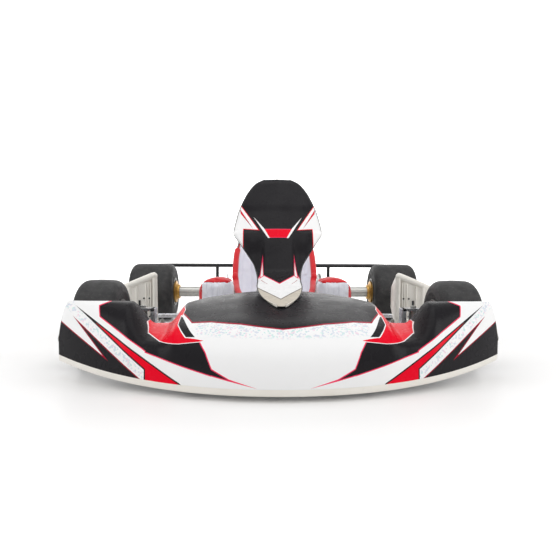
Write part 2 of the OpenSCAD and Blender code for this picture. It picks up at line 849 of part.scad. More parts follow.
module rear_hubs() {
    color("goldenrod") mirror_pair()
        difference() {
            union() {
                on_axle(hub_x[0]) along_x() cylinder(h = hub_x[1] - hub_x[0], r = 35);
                on_axle(hub_flange_x) along_x() cylinder(h = rim_disc_x - hub_flange_x, r = 54);
                for (a = [90, 210, 330])
                    on_axle(rim_disc_x) rotate([a, 0, 0]) translate([0, 0, 45])
                        along_x() cylinder(h = 14, r = 4);
            }
            on_axle(0) along_x() cylinder(h = 700, r = axle_r);
        }
}

module rear_rim() {
    difference() {
        on_rear_wheel() rim(rear_tyre_w / 2, rim_disc_x + 0.1 - rear_wheel_x, bead_r - 2, 36);
        for (a = [90, 210, 330])
            on_axle(rim_disc_x - 5) rotate([a, 0, 0]) translate([0, 0, 45]) along_x() cylinder(h = 30, r = 4.3);
    }
}

module rear_tyre() { on_rear_wheel() tyre(rear_tyre_d / 2, rear_tyre_w / 2, 26, 9); }

module rear_rim_left() { color("gray") rear_rim(); }
module rear_rim_right() { color("gray") mirror([1, 0, 0]) rear_rim(); }
module rear_tyre_left() { color("black") rear_tyre(); }
module rear_tyre_right() { color("black") mirror([1, 0, 0]) rear_tyre(); }

// Sleeve keyed to the axle, with a flange beside the disc or sprocket
module carrier(x, flange_r) {
    difference() {
        union() {
            on_axle(x - 20) along_x() cylinder(h = 40, r = 36);
            on_axle(x) along_x() cylinder(h = 8, r = flange_r, center = true);
        }
        on_axle(x - 30) along_x() cylinder(h = 60, r = axle_r);
    }
}

module brake_disc() {
    color("silver") {
        carrier(disc_x, 62);
        on_axle(disc_x) ring_x(disc_d / 2, 62.3, disc_t);
    }
}

sprocket_x = -228;
sprocket_holes = 6;
sprocket_pcd = 122;

module sprocket() {
    pitch_r = chain_pitch / 2 / sin(180 / sprocket_teeth);
    outline = [for (i = [0:4 * sprocket_teeth - 1])
        let(a = 90 * i / sprocket_teeth, r = pitch_r + (i % 4 < 2 ? -2 : 2))
        [r * cos(a), r * sin(a)]];
    color("silver") {
        carrier(sprocket_x, 53);
        difference() {
            on_axle(sprocket_x) along_x() linear_extrude(5, center = true) polygon(outline);
            on_axle(sprocket_x) along_x() cylinder(h = 20, r = 50, center = true);
            for (i = [0:sprocket_holes - 1])
                on_axle(sprocket_x) rotate([i * 360 / sprocket_holes, 0, 0]) translate([0, 0, sprocket_pcd / 2])
                    along_x() cylinder(h = 20, r = 3.2, center = true);
        }
    }
}

// ---------- brake ----------

caliper_y = [662, 736];
caliper_z = [112, 184];

module brake_caliper() {
    color("dimgray") difference() {
        union() {
            translate([disc_x - 36, caliper_y[0], caliper_z[0]])
                cube([72, caliper_y[1] - caliper_y[0], caliper_z[1] - caliper_z[0]]);
            translate([disc_x - 30, 706, rail_z]) cube([60, 30, caliper_z[0] - rail_z]);
        }
        translate([disc_x - caliper_slot / 2 - 0.3, 600, rail_z + 30])
            cube([caliper_slot + 0.6, 118, 200]);
        member_solid(member_rear_y, tail_x);
        translate([disc_x - 60, 690, rail_z - 40]) cube([120, 60, 40]);
    }
}

// Pad on one side of the disc
module pad_block(side) {
    x = side > 0 ? disc_x + disc_t / 2 + 1 : disc_x - disc_t / 2 - 1 - pad_t;
    translate([x, caliper_y[0] + 23, caliper_z[0] + 6]) cube([pad_t, 27, 60]);
}

module brake_pad_inner() { color("firebrick") pad_block(-1); }
module brake_pad_outer() { color("firebrick") pad_block(1); }

rod_dir = unit(rod_back - rod_front);
cylinder_len = 96;

module master_cylinder() {
    back = rod_back + rod_dir * cylinder_len;
    color("dimgray") difference() {
        union() {
            rod(rod_back, back, 14);
            translate([rod_x - 17, rod_back[1] + 20, rod_back[2] + 4]) cube([34, 56, 34]);
            translate([rod_x, rod_back[1] + 34, rod_back[2] - 5]) cube([waist_x - rod_x - 4, 36, 10]);
        }
        rod(rod_back - rod_dir * 4, rod_back + rod_dir * 26, 5.5);
        rod(rail_path[2], rail_path[3], rail_r);
    }
}

module brake_rod() {
    color("silver") {
        rod(rod_front + rod_dir * 10, rod_back + rod_dir * 14, 4);
        translate(rod_front) ring_x(12, 7.5, 11);
    }
}

// ---------- pedals ----------

module pedal_pins() {
    color("dimgray") fish_mouth(weld_room)
        for (x = [brake_pedal_x, throttle_pedal_x]) {
            translate([x, pedal_y, pedal_z]) along_x() cylinder(h = 44, r = 5, center = true);
            for (s = [-1, 1])
                translate([x + s * 19 - 3, -632, 42]) cube([6, pedal_y + 642, 20]);
        }
}

module pedal(x) {
    difference() {
        union() {
            translate([x, pedal_y, pedal_z]) along_x() cylinder(h = 28, r = 10, center = true);
            rod([x, pedal_y, pedal_z], [x, pedal_y - 4, pedal_z + pedal_h - 18], 7);
            translate([x - 34, pedal_y - 12, pedal_z + pedal_h - 44]) cube([68, 6, 44]);
        }
        translate([x, pedal_y, pedal_z]) along_x() cylinder(h = 60, r = 5 + running_gap, center = true);
    }
}

module brake_pedal() {
    color("silver") {
        pedal(brake_pedal_x);
        rod([brake_pedal_x, pedal_y, rod_front[2]], [rod_x + 8, pedal_y, rod_front[2]], 4);
    }
}

module throttle_pedal() { color("silver") pedal(throttle_pedal_x); }

heel_y = -500;

module heel_rest() {
    bar_z = 58;
    color("gainsboro") {
        translate([0, heel_y, bar_z]) along_x() cylinder(h = 400, r = 6, center = true);
        mirror_pair() translate([185, heel_y, tray_z + tray_t]) cylinder(h = bar_z - tray_z - tray_t, r = 5);
    }
}

frame_rail_left();
frame_rail_right();
front_cross_member();
seat_cross_member();
rear_cross_member();
kingpin_yokes();
seat_struts();
bearing_carriers();
axle_bearings();
floor_tray();
front_bumper();
side_bumper_left();
side_bumper_right();
rear_bumper();
front_fairing();
fairing_brackets();
front_panel();
front_panel_bracket();
side_pod_left();
side_pod_right();
seat_shell();
seat_liner();
seat_bolster_left();
seat_bolster_right();
fuel_tank();
fuel_cap();
steering_support();
steering_bush();
master_cylinder();
brake_caliper();
pedal_pins();
heel_rest();
kingpin_bolts();
seat_bolts();
steering_wheel();
wheel_boss();
steering_column();
spindle_left();
spindle_right();
tie_rod_left();
tie_rod_right();
front_hub_left();
front_hub_right();
front_rim_left();
front_rim_right();
front_tyre_left();
front_tyre_right();
rear_axle();
rear_hubs();
rear_rim_left();
rear_rim_right();
rear_tyre_left();
rear_tyre_right();
brake_disc();
sprocket();
brake_pad_inner();
brake_pad_outer();
brake_pedal();
brake_rod();
throttle_pedal();
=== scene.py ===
import json
import math
import random

import bmesh
import bpy
from mathutils import Matrix, Vector


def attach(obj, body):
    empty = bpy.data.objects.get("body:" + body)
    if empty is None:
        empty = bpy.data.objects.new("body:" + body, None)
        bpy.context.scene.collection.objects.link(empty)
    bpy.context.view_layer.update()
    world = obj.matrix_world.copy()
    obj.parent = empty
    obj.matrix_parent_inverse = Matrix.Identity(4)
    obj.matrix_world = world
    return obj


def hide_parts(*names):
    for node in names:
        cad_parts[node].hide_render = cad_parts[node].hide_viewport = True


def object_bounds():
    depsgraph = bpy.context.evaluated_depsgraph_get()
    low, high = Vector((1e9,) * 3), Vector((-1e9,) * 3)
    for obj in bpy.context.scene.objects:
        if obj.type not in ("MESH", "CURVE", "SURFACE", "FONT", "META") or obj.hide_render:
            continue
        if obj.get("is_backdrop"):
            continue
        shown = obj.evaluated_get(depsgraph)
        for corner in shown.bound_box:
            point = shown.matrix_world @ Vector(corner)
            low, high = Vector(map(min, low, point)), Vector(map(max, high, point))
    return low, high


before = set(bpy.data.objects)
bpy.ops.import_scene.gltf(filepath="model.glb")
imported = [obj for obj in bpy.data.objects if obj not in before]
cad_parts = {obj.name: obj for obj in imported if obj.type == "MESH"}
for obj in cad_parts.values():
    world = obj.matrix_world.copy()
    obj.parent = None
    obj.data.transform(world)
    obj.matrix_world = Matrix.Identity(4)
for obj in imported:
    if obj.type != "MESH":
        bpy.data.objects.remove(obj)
cad_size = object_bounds()
random.seed(7)

MM = 0.001
SIDES = (("left", 1), ("right", -1))
FRONT_WHEEL = (540, -430, 129)
AXLE = (0, 620, 140)
DISC_X, SPROCKET_X = 228, -228
RAIL_Z = 55


# ---------- helpers ----------

def mix(a, b, t):
    return a + (b - a) * t


def ramp(a, b, x):
    t = max(0.0, min(1.0, (x - a) / (b - a)))
    return t * t * (3 - 2 * t)


def spline(points, t):
    """Catmull-Rom point at t, from 0 to the last index."""
    n = len(points) - 1
    i = min(n - 1, int(t))
    f = t - i
    p = [points[max(0, i - 1)], points[i], points[i + 1], points[min(n, i + 2)]]
    return [0.5 * (2 * b + (c - a) * f + (2 * a - 5 * b + 4 * c - d) * f * f
                   + (3 * b - a - 3 * c + d) * f ** 3) for a, b, c, d in zip(*p)]


def finish_mesh(name, bm, material, smooth=35):
    """Turns a bmesh in millimetres into an object with its origin at the frame's origin."""
    bmesh.ops.scale(bm, vec=(MM, MM, MM), verts=bm.verts)
    bmesh.ops.recalc_face_normals(bm, faces=bm.faces)
    mesh = bpy.data.meshes.new(name)
    bm.to_mesh(mesh)
    bm.free()
    mesh.materials.append(material)
    obj = bpy.data.objects.new(name, mesh)
    bpy.context.scene.collection.objects.link(obj)
    if smooth is not None:
        mesh.shade_smooth()
        mesh.set_sharp_from_angle(angle=math.radians(smooth))
    return obj


def declare(obj, body, slot, *nodes):
    """Attaches a piece to the body it rides on and hides the CAD nodes that it stands for. The slot argument
    is not used.
    """
    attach(obj, body)
    if nodes:
        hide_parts(*nodes)
    return obj


def add_loft(bm, rings, closed=True, caps=False):
    """Skins a list of rings of points, all of one length. Returns the vertices by ring."""
    rows = [[bm.verts.new(p) for p in ring] for ring in rings]
    n = len(rows[0])
    for a, b in zip(rows, rows[1:]):
        for i in range(n if closed else n - 1):
            j = (i + 1) % n
            bm.faces.new((a[i], a[j], b[j], b[i]))
    if caps:
        bm.faces.new(rows[0])
        bm.faces.new(rows[-1])
    return rows


def rounded_path(path, radius, step=6):
    """A polyline with every corner turned into a fine arc."""
    out = [Vector(path[0])]
    for a, b, c in zip(path, path[1:], path[2:]):
        a, b, c = Vector(a), Vector(b), Vector(c)
        u, w = (b - a).normalized(), (c - b).normalized()
        turn = math.acos(max(-1.0, min(1.0, u.dot(w))))
        if turn < 0.02:
            out.append(b)
            continue
        inward = (w - u * u.dot(w)).normalized()
        centre = b - u * radius * math.tan(turn / 2) + inward * radius
        count = max(2, int(math.degrees(turn) / step))
        for k in range(count + 1):
            q = turn * k / count
            out.append(centre + radius * (u * math.sin(q) - inward * math.cos(q)))
    out.append(Vector(path[-1]))
    return out


def add_tube(bm, path, radius, sides=24, radii=None):
    """Sweeps a circle along a path without twist."""
    path = [Vector(p) for p in path]
    tangents = []
    for i in range(len(path)):
        a, b = path[max(0, i - 1)], path[min(len(path) - 1, i + 1)]
        tangents.append((b - a).normalized())
    side = tangents[0].orthogonal().normalized()
    rings = []
    for i, (p, t) in enumerate(zip(path, tangents)):
        side = (side - t * side.dot(t)).normalized()
        up = t.cross(side)
        r = radii[i] if radii else radius
        turns = [2 * math.pi * k / sides for k in range(sides)]
        rings.append([p + r * (side * math.cos(a) + up * math.sin(a)) for a in turns])
    add_loft(bm, rings, caps=True)


def circle(radius, count, at=(0, 0)):
    """Points of a circle round a place in the plane."""
    turns = [2 * math.pi * k / count for k in range(count)]
    return [(at[0] + radius * math.cos(a), at[1] + radius * math.sin(a)) for a in turns]


def add_plate(bm, low, high, loops):
    """Flat plate across the X axis, from x low to x high, with one outline and holes inside it."""
    faces = []
    for x in (low, high):
        edges, rings = [], []
        for loop in loops:
            verts = [bm.verts.new((x, AXLE[1] + y, AXLE[2] + z)) for y, z in loop]
            rings.append(verts)
            edges += [bm.edges.new((a, b)) for a, b in zip(verts, verts[1:] + verts[:1])]
        bmesh.ops.triangle_fill(bm, use_beauty=True, use_dissolve=False, edges=edges)
        faces.append(rings)
    for a, b in zip(*faces):
        add_walls(bm, a, b)


def add_walls(bm, low, high):
    """Faces between two closed rings of vertices."""
    for i in range(len(low)):
        j = (i + 1) % len(low)
        bm.faces.new((low[i], low[j], high[j], high[i]))


def add_turned(bm, profile, centre, segments=96, caps=False):
    """Revolves (radius, x) points about the X axis through a centre. A closed profile makes a solid ring."""
    rings = []
    for k in range(segments):
        a = 2 * math.pi * k / segments
        rings.append([bm.verts.new((centre[0] + x, centre[1] + r * math.cos(a), centre[2] + r * math.sin(a)))
                      for r, x in profile])
    n = len(profile)
    for k in range(segments):
        a, b = rings[k], rings[(k + 1) % segments]
        for i in range(n if not caps else n - 1):
            j = (i + 1) % n
            bm.faces.new((a[i], a[j], b[j], b[i]))
    if caps:
        bm.faces.new([r[0] for r in rings])
        bm.faces.new([r[-1] for r in rings])


def add_box(bm, low, high, bevel=0.0, segments=2):
    """Box between two corners with rounded edges."""
    made = bmesh.ops.create_cube(bm, size=1.0)["verts"]
    size = [h - l for l, h in zip(low, high)]
    mid = [(h + l) / 2 for l, h in zip(low, high)]
    bmesh.ops.scale(bm, vec=size, verts=made)
    bmesh.ops.translate(bm, vec=mid, verts=made)
    if bevel:
        edges = list({e for v in made for e in v.link_edges})
        made = bmesh.ops.bevel(bm, geom=edges, offset=bevel, segments=segments, profile=0.5,
                               affect="EDGES")["verts"]
    return made


def add_hex(bm, centre, direction, radius, height, sides=6, bevel=0.8):
    """Nut, bolt head or small boss standing on a point along a direction."""
    made = bmesh.ops.create_cone(bm, cap_ends=True, segments=sides, radius1=radius, radius2=radius,
                                 depth=height)["verts"]
    bmesh.ops.translate(bm, vec=(0, 0, height / 2), verts=made)
    turn = Vector((0, 0, 1)).rotation_difference(Vector(direction)).to_matrix().to_4x4()
    bmesh.ops.transform(bm, matrix=Matrix.Translation(Vector(centre)) @ turn, verts=made)
    if bevel:
        rim = [e for e in {e for v in made for e in v.link_edges}
               if all(len(f.verts) > 4 or f.normal.length == 0 for f in e.link_faces) or
               any(len(f.verts) > 4 for f in e.link_faces)]
        bmesh.ops.bevel(bm, geom=rim, offset=bevel, segments=2, profile=0.5, affect="EDGES")


def add_disc(bm, centre, radius, depth, top=None):
    """Upright round disc of 64 sides, tapered when it has a top radius."""
    made = bmesh.ops.create_cone(bm, cap_ends=True, segments=64, radius1=radius, radius2=top or radius,
                                 depth=depth)["verts"]
    bmesh.ops.translate(bm, vec=centre, verts=made)


def add_ball(bm, centre, radius):
    made = bmesh.ops.create_uvsphere(bm, u_segments=20, v_segments=12, radius=radius)["verts"]
    bmesh.ops.translate(bm, vec=centre, verts=made)


def grid_faces(bm, grid):
    """Faces of a grid of vertices, row by row."""
    for a, b in zip(grid, grid[1:]):
        for i in range(len(a) - 1):
            bm.faces.new((a[i], a[i + 1], b[i + 1], b[i]))


def joined(builder):
    """Runs a builder for the left side and returns one bmesh with both sides."""
    bm = bmesh.new()
    for part in mirrored(builder):
        temp = bpy.data.meshes.new("part")
        part.to_mesh(temp)
        bm.from_mesh(temp)
        bpy.data.meshes.remove(temp)
        part.free()
    return bm


def mirrored(bm_builder):
    """Runs a builder on a bmesh for the left side and returns left and right copies."""
    out = []
    for _, sign in SIDES:
        bm = bmesh.new()
        bm_builder(bm)
        if sign < 0:
            bmesh.ops.scale(bm, vec=(-1, 1, 1), verts=bm.verts)
            bmesh.ops.reverse_faces(bm, faces=bm.faces)
        out.append(bm)
    return out


# ---------- materials ----------

class Nodes:
    """A small helper to build a node tree."""

    def __init__(self, name):
        self.material = bpy.data.materials.new(name)
        self.material.use_nodes = True
        self.tree = self.material.node_tree
        self.shader = self.tree.nodes["Principled BSDF"]
        self.coords = self.tree.nodes.new("ShaderNodeTexCoord").outputs["Object"]

    def new(self, kind, **settings):
        node = self.tree.nodes.new(kind)
        for key, value in settings.items():
            setattr(node, key, value)
        return node

    def link(self, a, b):
        self.tree.links.new(a, b)

    def value(self, socket, x):
        if hasattr(x, "is_output"):
            self.link(x, socket)
        else:
            socket.default_value = x

    def math(self, operation, *args, clamp=False):
        node = self.new("ShaderNodeMath", operation=operation, use_clamp=clamp)
        for socket, x in zip(node.inputs, args):
            self.value(socket, x)
        return node.outputs[0]

    def mix(self, factor, a, b):
        node = self.new("ShaderNodeMix", data_type="RGBA")
        self.value(node.inputs["Factor"], factor)
        for socket, x in ((node.inputs[6], a), (node.inputs[7], b)):
            self.value(socket, x if hasattr(x, "is_output") else (*x, 1.0))
        return node.outputs[2]

    def noise(self, scale, detail=4.0, rough=0.55, stretch=None):
        node = self.new("ShaderNodeTexNoise")
        node.inputs["Scale"].default_value = scale
        node.inputs["Detail"].default_value = detail
        node.inputs["Roughness"].default_value = rough
        source = self.coords
        if stretch:
            mapping = self.new("ShaderNodeMapping")
            mapping.inputs["Scale"].default_value = stretch
            self.link(self.coords, mapping.inputs["Vector"])
            source = mapping.outputs[0]
        self.link(source, node.inputs["Vector"])
        return node.outputs["Fac"]

    def span(self, x, low, high, to_low=0.0, to_high=1.0):
        node = self.new("ShaderNodeMapRange")
        self.value(node.inputs[0], x)
        for i, v in enumerate((low, high, to_low, to_high)):
            node.inputs[i + 1].default_value = v
        return node.outputs[0]

    def set(self, **inputs):
        for key, x in inputs.items():
            socket = self.shader.inputs[key.replace("_", " ")]
            self.value(socket, (*x, 1.0) if isinstance(x, tuple) else x)

    def bump(self, height, strength, distance=0.001, after=None):
        node = self.new("ShaderNodeBump")
        node.inputs["Strength"].default_value = strength
        node.inputs["Distance"].default_value = distance
        self.link(height, node.inputs["Height"])
        if after:
            self.link(after, node.inputs["Normal"])
        self.link(node.outputs[0], self.shader.inputs["Normal"])
        return node.outputs[0]


def surface(name, colour, other, metal=0.0, rough=(0.35, 0.5), scale=30.0, grain=(900.0, 0.1),
            stretch=None, coat=0.0, sheen=0.0, specular=0.5, wear=None):
    """A finish with mottled colour, uneven gloss and a fine surface grain."""
    n = Nodes(name)
    broad = n.noise(scale, 5.0, stretch=stretch)
    tone = n.mix(n.span(broad, 0.35, 0.68), colour, other)
    if wear:
        spots = n.span(n.noise(scale * 2.4, 8.0, 0.7), 0.62, 0.74)
        tone = n.mix(spots, tone, wear)
    n.set(Base_Color=tone, Metallic=metal, Roughness=n.span(n.noise(scale * 1.7, 6.0), 0.3, 0.7, *rough),
          Coat_Weight=coat, Coat_Roughness=0.06, Sheen_Weight=sheen, Specular_IOR_Level=specular)
    n.bump(n.noise(grain[0], 3.0, stretch=stretch), grain[1], 0.0006)
    return n.material


frame_steel = surface("frame_steel", (0.60, 0.61, 0.63), (0.50, 0.51, 0.54), 0.85, (0.22, 0.36), 45.0,
                      (1400.0, 0.06))
bumper_black = surface("bumper_black", (0.018, 0.018, 0.020), (0.030, 0.030, 0.033), 0.1, (0.32, 0.48), 60.0,
                       (1800.0, 0.12))
tray_aluminium = surface("tray_aluminium", (0.50, 0.51, 0.52), (0.42, 0.43, 0.44), 0.9, (0.3, 0.5), 20.0,
                         (260.0, 0.15), stretch=(1.0, 14.0, 1.0), wear=(0.30, 0.30, 0.30))
machined = surface("machined_aluminium", (0.66, 0.67, 0.68), (0.58, 0.59, 0.60), 0.95, (0.2, 0.34), 40.0,
                   (700.0, 0.08), stretch=(1.0, 9.0, 9.0))
zinc_steel = surface("zinc_steel", (0.55, 0.54, 0.50), (0.46, 0.46, 0.45), 0.9, (0.28, 0.42), 70.0,
                     (1500.0, 0.08))
cream_plastic = surface("pod_plastic", (0.87, 0.84, 0.78), (0.83, 0.795, 0.73), 0.0, (0.34, 0.46), 14.0,
                        (1100.0, 0.07), wear=(0.79, 0.755, 0.68))
seat_laminate = surface("seat_laminate", (0.035, 0.035, 0.038), (0.060, 0.060, 0.064), 0.0, (0.2, 0.34), 55.0,
                        (500.0, 0.12), coat=0.4)
tank_plastic = surface("tank_plastic", (0.76, 0.75, 0.70), (0.70, 0.69, 0.63), 0.0, (0.36, 0.5), 18.0,
                       (800.0, 0.1))
cap_red = surface("cap_red", (0.56, 0.010, 0.018), (0.47, 0.008, 0.015), 0.0, (0.3, 0.42), 50.0, (900.0, 0.1))
nylon = surface("nylon", (0.72, 0.71, 0.66), (0.66, 0.65, 0.60), 0.0, (0.4, 0.55), 60.0, (900.0, 0.08))
casting = surface("black_casting", (0.026, 0.026, 0.028), (0.045, 0.045, 0.047), 0.35, (0.38, 0.55), 70.0,
                  (420.0, 0.35), wear=(0.10, 0.10, 0.10))
gold = surface("gold_magnesium", (0.62, 0.36, 0.10), (0.52, 0.29, 0.07), 0.9, (0.26, 0.4), 60.0, (600.0, 0.1),
               stretch=(1.0, 6.0, 6.0))
rim_metal = surface("rim_magnesium", (0.060, 0.058, 0.056), (0.092, 0.088, 0.084), 0.75, (0.3, 0.44), 50.0,
                    (500.0, 0.12))
grip = surface("wheel_grip", (0.020, 0.020, 0.021), (0.032, 0.031, 0.031), 0.0, (0.62, 0.8), 80.0,
               (900.0, 0.55), sheen=0.3)
disc_iron = surface("disc_iron", (0.30, 0.29, 0.28), (0.24, 0.23, 0.22), 0.9, (0.26, 0.4), 30.0,
                    (380.0, 0.14), stretch=(1.0, 5.0, 5.0), wear=(0.20, 0.13, 0.09))
pad_lining = surface("pad_lining", (0.13, 0.105, 0.09), (0.20, 0.165, 0.14), 0.05, (0.7, 0.85), 220.0,
                     (520.0, 0.6), wear=(0.32, 0.28, 0.22))
chain_steel = surface("sprocket_alloy", (0.60, 0.60, 0.61), (0.50, 0.50, 0.52), 0.95, (0.22, 0.38), 35.0,
                      (520.0, 0.1), stretch=(1.0, 7.0, 7.0), wear=(0.22, 0.21, 0.20))


def rubber_material():
    """Slick tyre compound: dull tread with fine wear lines round it."""
    n = Nodes("tyre")
    split = n.new("ShaderNodeSeparateXYZ")
    n.link(n.coords, split.inputs[0])
    scuff = n.span(n.noise(34.0, 7.0, 0.65), 0.4, 0.66)
    tone = n.mix(scuff, (0.017, 0.017, 0.018), (0.034, 0.033, 0.033))
    n.set(Base_Color=n.mix(n.span(n.noise(160.0, 3.0), 0.6, 0.75), tone, (0.060, 0.058, 0.056)),
          Roughness=n.span(n.noise(48.0, 5.0), 0.3, 0.7, 0.5, 0.68), Specular_IOR_Level=0.45)
    fine = n.bump(n.noise(1500.0, 3.0), 0.3, 0.0005)
    lines = n.noise(18.0, 4.0, stretch=(60.0, 1.0, 1.0))
    n.bump(lines, 0.22, 0.0005, after=fine)
    return n.material


tyre_rubber = rubber_material()


# ---------- livery ----------

class Livery(Nodes):
    """Printed film: layers of straight-edged shapes in a flat frame, in millimetres."""

    def __init__(self, name):
        super().__init__(name)
        split = self.new("ShaderNodeSeparateXYZ")
        self.link(self.coords, split.inputs[0])
        across = self.math("MULTIPLY", self.math("ABSOLUTE", split.outputs[0]), 1000.0)
        height = self.math("MULTIPLY", split.outputs[2], 1000.0)
        flat = self.new("ShaderNodeCombineXYZ")
        flat.inputs[1].default_value = 1.0
        self.link(across, flat.inputs[0])
        self.link(height, flat.inputs[2])
        self.flat = flat.outputs[0]

    def edge(self, a, b):
        """Distance to the left of the line from a to b."""
        nx, nz = a[1] - b[1], b[0] - a[0]
        size = math.hypot(nx, nz)
        nx, nz = nx / size, nz / size
        node = self.new("ShaderNodeVectorMath", operation="DOT_PRODUCT")
        self.link(self.flat, node.inputs[0])
        node.inputs[1].default_value = (nx, -(nx * a[0] + nz * a[1]), nz)
        return node.outputs["Value"]

    def both(self, *distances):
        """Where all the shapes overlap."""
        out = distances[0]
        for d in distances[1:]:
            out = self.math("MINIMUM", out, d)
        return out

    def either(self, *distances):
        """Where any of the shapes is."""
        out = distances[0]
        for d in distances[1:]:
            out = self.math("MAXIMUM", out, d)
        return out

    def without(self, a, b):
        return self.math("MINIMUM", a, self.math("MULTIPLY", b, -1.0))

    def shape(self, *points):
        """Distance inside a convex outline given in either direction."""
        area = sum(a[0] * b[1] - b[0] * a[1] for a, b in zip(points, points[1:] + points[:1]))
        if area < 0:
            points = points[::-1]
        return self.both(*[self.edge(a, b) for a, b in zip(points, points[1:] + points[:1])])

    def layer(self, base, distance, fill, line=None, width=2.4):
        """Paints a shape over what lies below, with an edge line of the given width inside it."""
        inside = self.math("GREATER_THAN", distance, 0.0)
        if line:
            core = self.math("GREATER_THAN", distance, width)
            fill = self.mix(core, line, fill)
        return self.mix(inside, base, fill)

    def printed_white(self, faint):
        """White film with a faint fleck of pale grey, rose and teal cells where faint is near 1."""
        cells = self.new("ShaderNodeTexVoronoi", feature="F1")
        cells.inputs["Scale"].default_value = 230.0
        self.link(self.coords, cells.inputs["Vector"])
        split = self.new("ShaderNodeSeparateColor")
        self.link(cells.outputs["Color"], split.inputs[0])
        fleck = self.mix(self.math("GREATER_THAN", split.outputs[1], 0.5), (0.66, 0.70, 0.77),
                         (0.83, 0.68, 0.75))
        fleck = self.mix(self.math("GREATER_THAN", split.outputs[1], 0.72), fleck, (0.60, 0.77, 0.75))
        on = self.math("MULTIPLY", self.math("GREATER_THAN", split.outputs[0], 0.66), faint, clamp=True)
        return self.mix(on, WHITE, fleck)

    def done(self, colour, coat=0.015, rough=(0.22, 0.34)):
        """Sets the film's colour under a thin clear coat and returns the material."""
        self.set(Base_Color=colour,
                 Roughness=self.span(self.noise(26.0, 5.0), 0.3, 0.7, *rough),
                 Coat_Weight=coat, Coat_Roughness=0.12, Specular_IOR_Level=0.05)
        self.bump(self.noise(9.0, 2.0), 0.05, 0.002)
        return self.material


WHITE = (0.88, 0.88, 0.88)
BLACK = (0.017, 0.016, 0.018)
RED = (0.80, 0.002, 0.020)
ROSE = (0.84, 0.045, 0.12)
DEEP_RED = (0.36, 0.004, 0.028)


def fairing_livery():
    n = Livery("livery_fairing")
    band = n.both(n.edge((346, 39), (555, 178)), n.edge((548, 203), (338, 59)))
    band = n.span(band, 0.0, 6.0)
    corner = n.span(n.both(n.edge((300, 20), (640, 245)), n.edge((540, 300), (570, 0))), -10.0, 20.0)
    under = n.both(n.edge((205, 130), (235, 200)), n.edge((0, 139), (400, 144)))
    under = n.span(under, 0.0, 8.0)
    colour = n.printed_white(n.math("MAXIMUM", n.math("MAXIMUM", band, under), corner))

    # Dark top of the hump, down to its flank
    top = n.both(n.either(n.edge((0, 160), (101, 168)), n.edge((101, 168), (178, 169.5)),
                          n.edge((178, 169.5), (227, 166))),
                 n.edge((227, 166), (256, 181)))
    colour = n.layer(colour, top, BLACK, DEEP_RED, 2.2)

    # Dark panel over the inner half of each lobe, running down to a dart near the centre
    panel = n.either(n.shape((471, 176), (479, 204), (447, 217), (300, 240), (300, 92), (329, 99)),
                     n.shape((168, 57), (166, 74), (182, 111), (198, 133), (336, 150), (336, 100)),
                     n.shape((178, 60), (174, 79), (122, 50.5), (122, 46.8)),
                     n.shape((128, 48.4), (128, 53.4), (60, 32.5)))
    colour = n.layer(colour, panel, BLACK, ROSE, 2.6)

    # Red stripe with a thin black edge
    stripe = n.either(n.shape((548, 203), (264, 47), (244, 30), (292, 30)),
                      n.shape((336, 86), (336, 20), (230, 20), (244, 36), (264, 47)))
    colour = n.layer(colour, stripe, RED, BLACK, 3.6)

    # Dark lower corner with a white wedge let into it
    corner = n.without(n.shape((346, 37), (655, 242), (655, 0), (346, 0)),
                       n.shape((454, 82), (660, 192), (660, 274)))
    colour = n.layer(colour, corner, BLACK, DEEP_RED, 2.6)

    # Red insert in the notch, and the dark chip on the hump's flank beside it
    insert = n.either(n.shape((356, 160), (342, 137), (303, 124.5), (262, 125), (256, 190), (300, 220)),
                      n.shape((272, 125), (249, 125), (200, 131), (182, 135.5), (207, 138.5), (272, 143)),
                      n.shape((264, 168), (232, 137), (268, 137)))
    colour = n.layer(colour, insert, RED, WHITE, 1.3)
    chip = n.shape((262, 180), (255, 178), (206, 139.5), (234, 138.5), (261, 163))
    colour = n.layer(colour, chip, BLACK, WHITE, 1.8)
    return n.done(colour)


def panel_livery():
    """Front panel film. Heights are above the ground."""
    n = Livery("livery_panel")
    colour = n.mix(n.span(n.noise(9.0, 2.0), 0.4, 0.6), BLACK, (0.021, 0.020, 0.022))

    # White wings outside the visor, each with a small red dart
    wing = n.both(n.edge((124, 500), (40, 384.5)),
                  n.either(n.edge((60, 416), (116, 420)), n.edge((117, 440), (115, 300))))
    colour = n.layer(colour, wing, WHITE, RED, 2.2)
    colour = n.layer(colour, n.shape((134, 496), (129, 476), (84, 421)), RED, DEEP_RED, 1.4)

    # Red band across the neck of the visor, and the white slivers at its ends
    band = n.both(n.edge((200, 421), (-200, 421)), n.edge((-200, 391), (200, 391)),
                  n.edge((29, 386), (52, 426)))
    colour = n.layer(colour, band, RED, ROSE, 1.6)
    colour = n.layer(colour, n.shape((84, 464), (48, 424), (28, 390), (34, 390), (54, 419)), WHITE)

    # Rose line down each cheek, turning in to the chin, and the white chin below it
    chin = n.both(n.edge((49, 272), (0, 251)), n.edge((77, 243), (57, 276)))
    colour = n.layer(colour, chin, WHITE, ROSE, 2.2)
    colour = n.layer(colour, n.shape((51, 336), (61, 260), (48, 268)), WHITE, ROSE, 2.2)
    colour = n.layer(colour, n.shape((60, 263), (56, 256), (14, 238), (38, 249)), RED, DEEP_RED, 1.0)

    # Bare chin edge
    colour = n.layer(colour, n.edge((67, 239), (0, 216)), (0.60, 0.55, 0.47), (0.16, 0.14, 0.12), 1.6)
    return n.done(colour)


fairing_film = fairing_livery()
panel_film = panel_livery()


# ---------- front fairing ----------

NOSE_Y, NOSE_ARC, LIP_LOW = -875.0, 0.000703, 32.0
HUMP_EDGE, NOTCH_X, LOBE_EDGE, HIP = 262.0, 322.0, 398.0, 605.0
NOTCH_Z, LOBE_Z = 151.0, 213.0
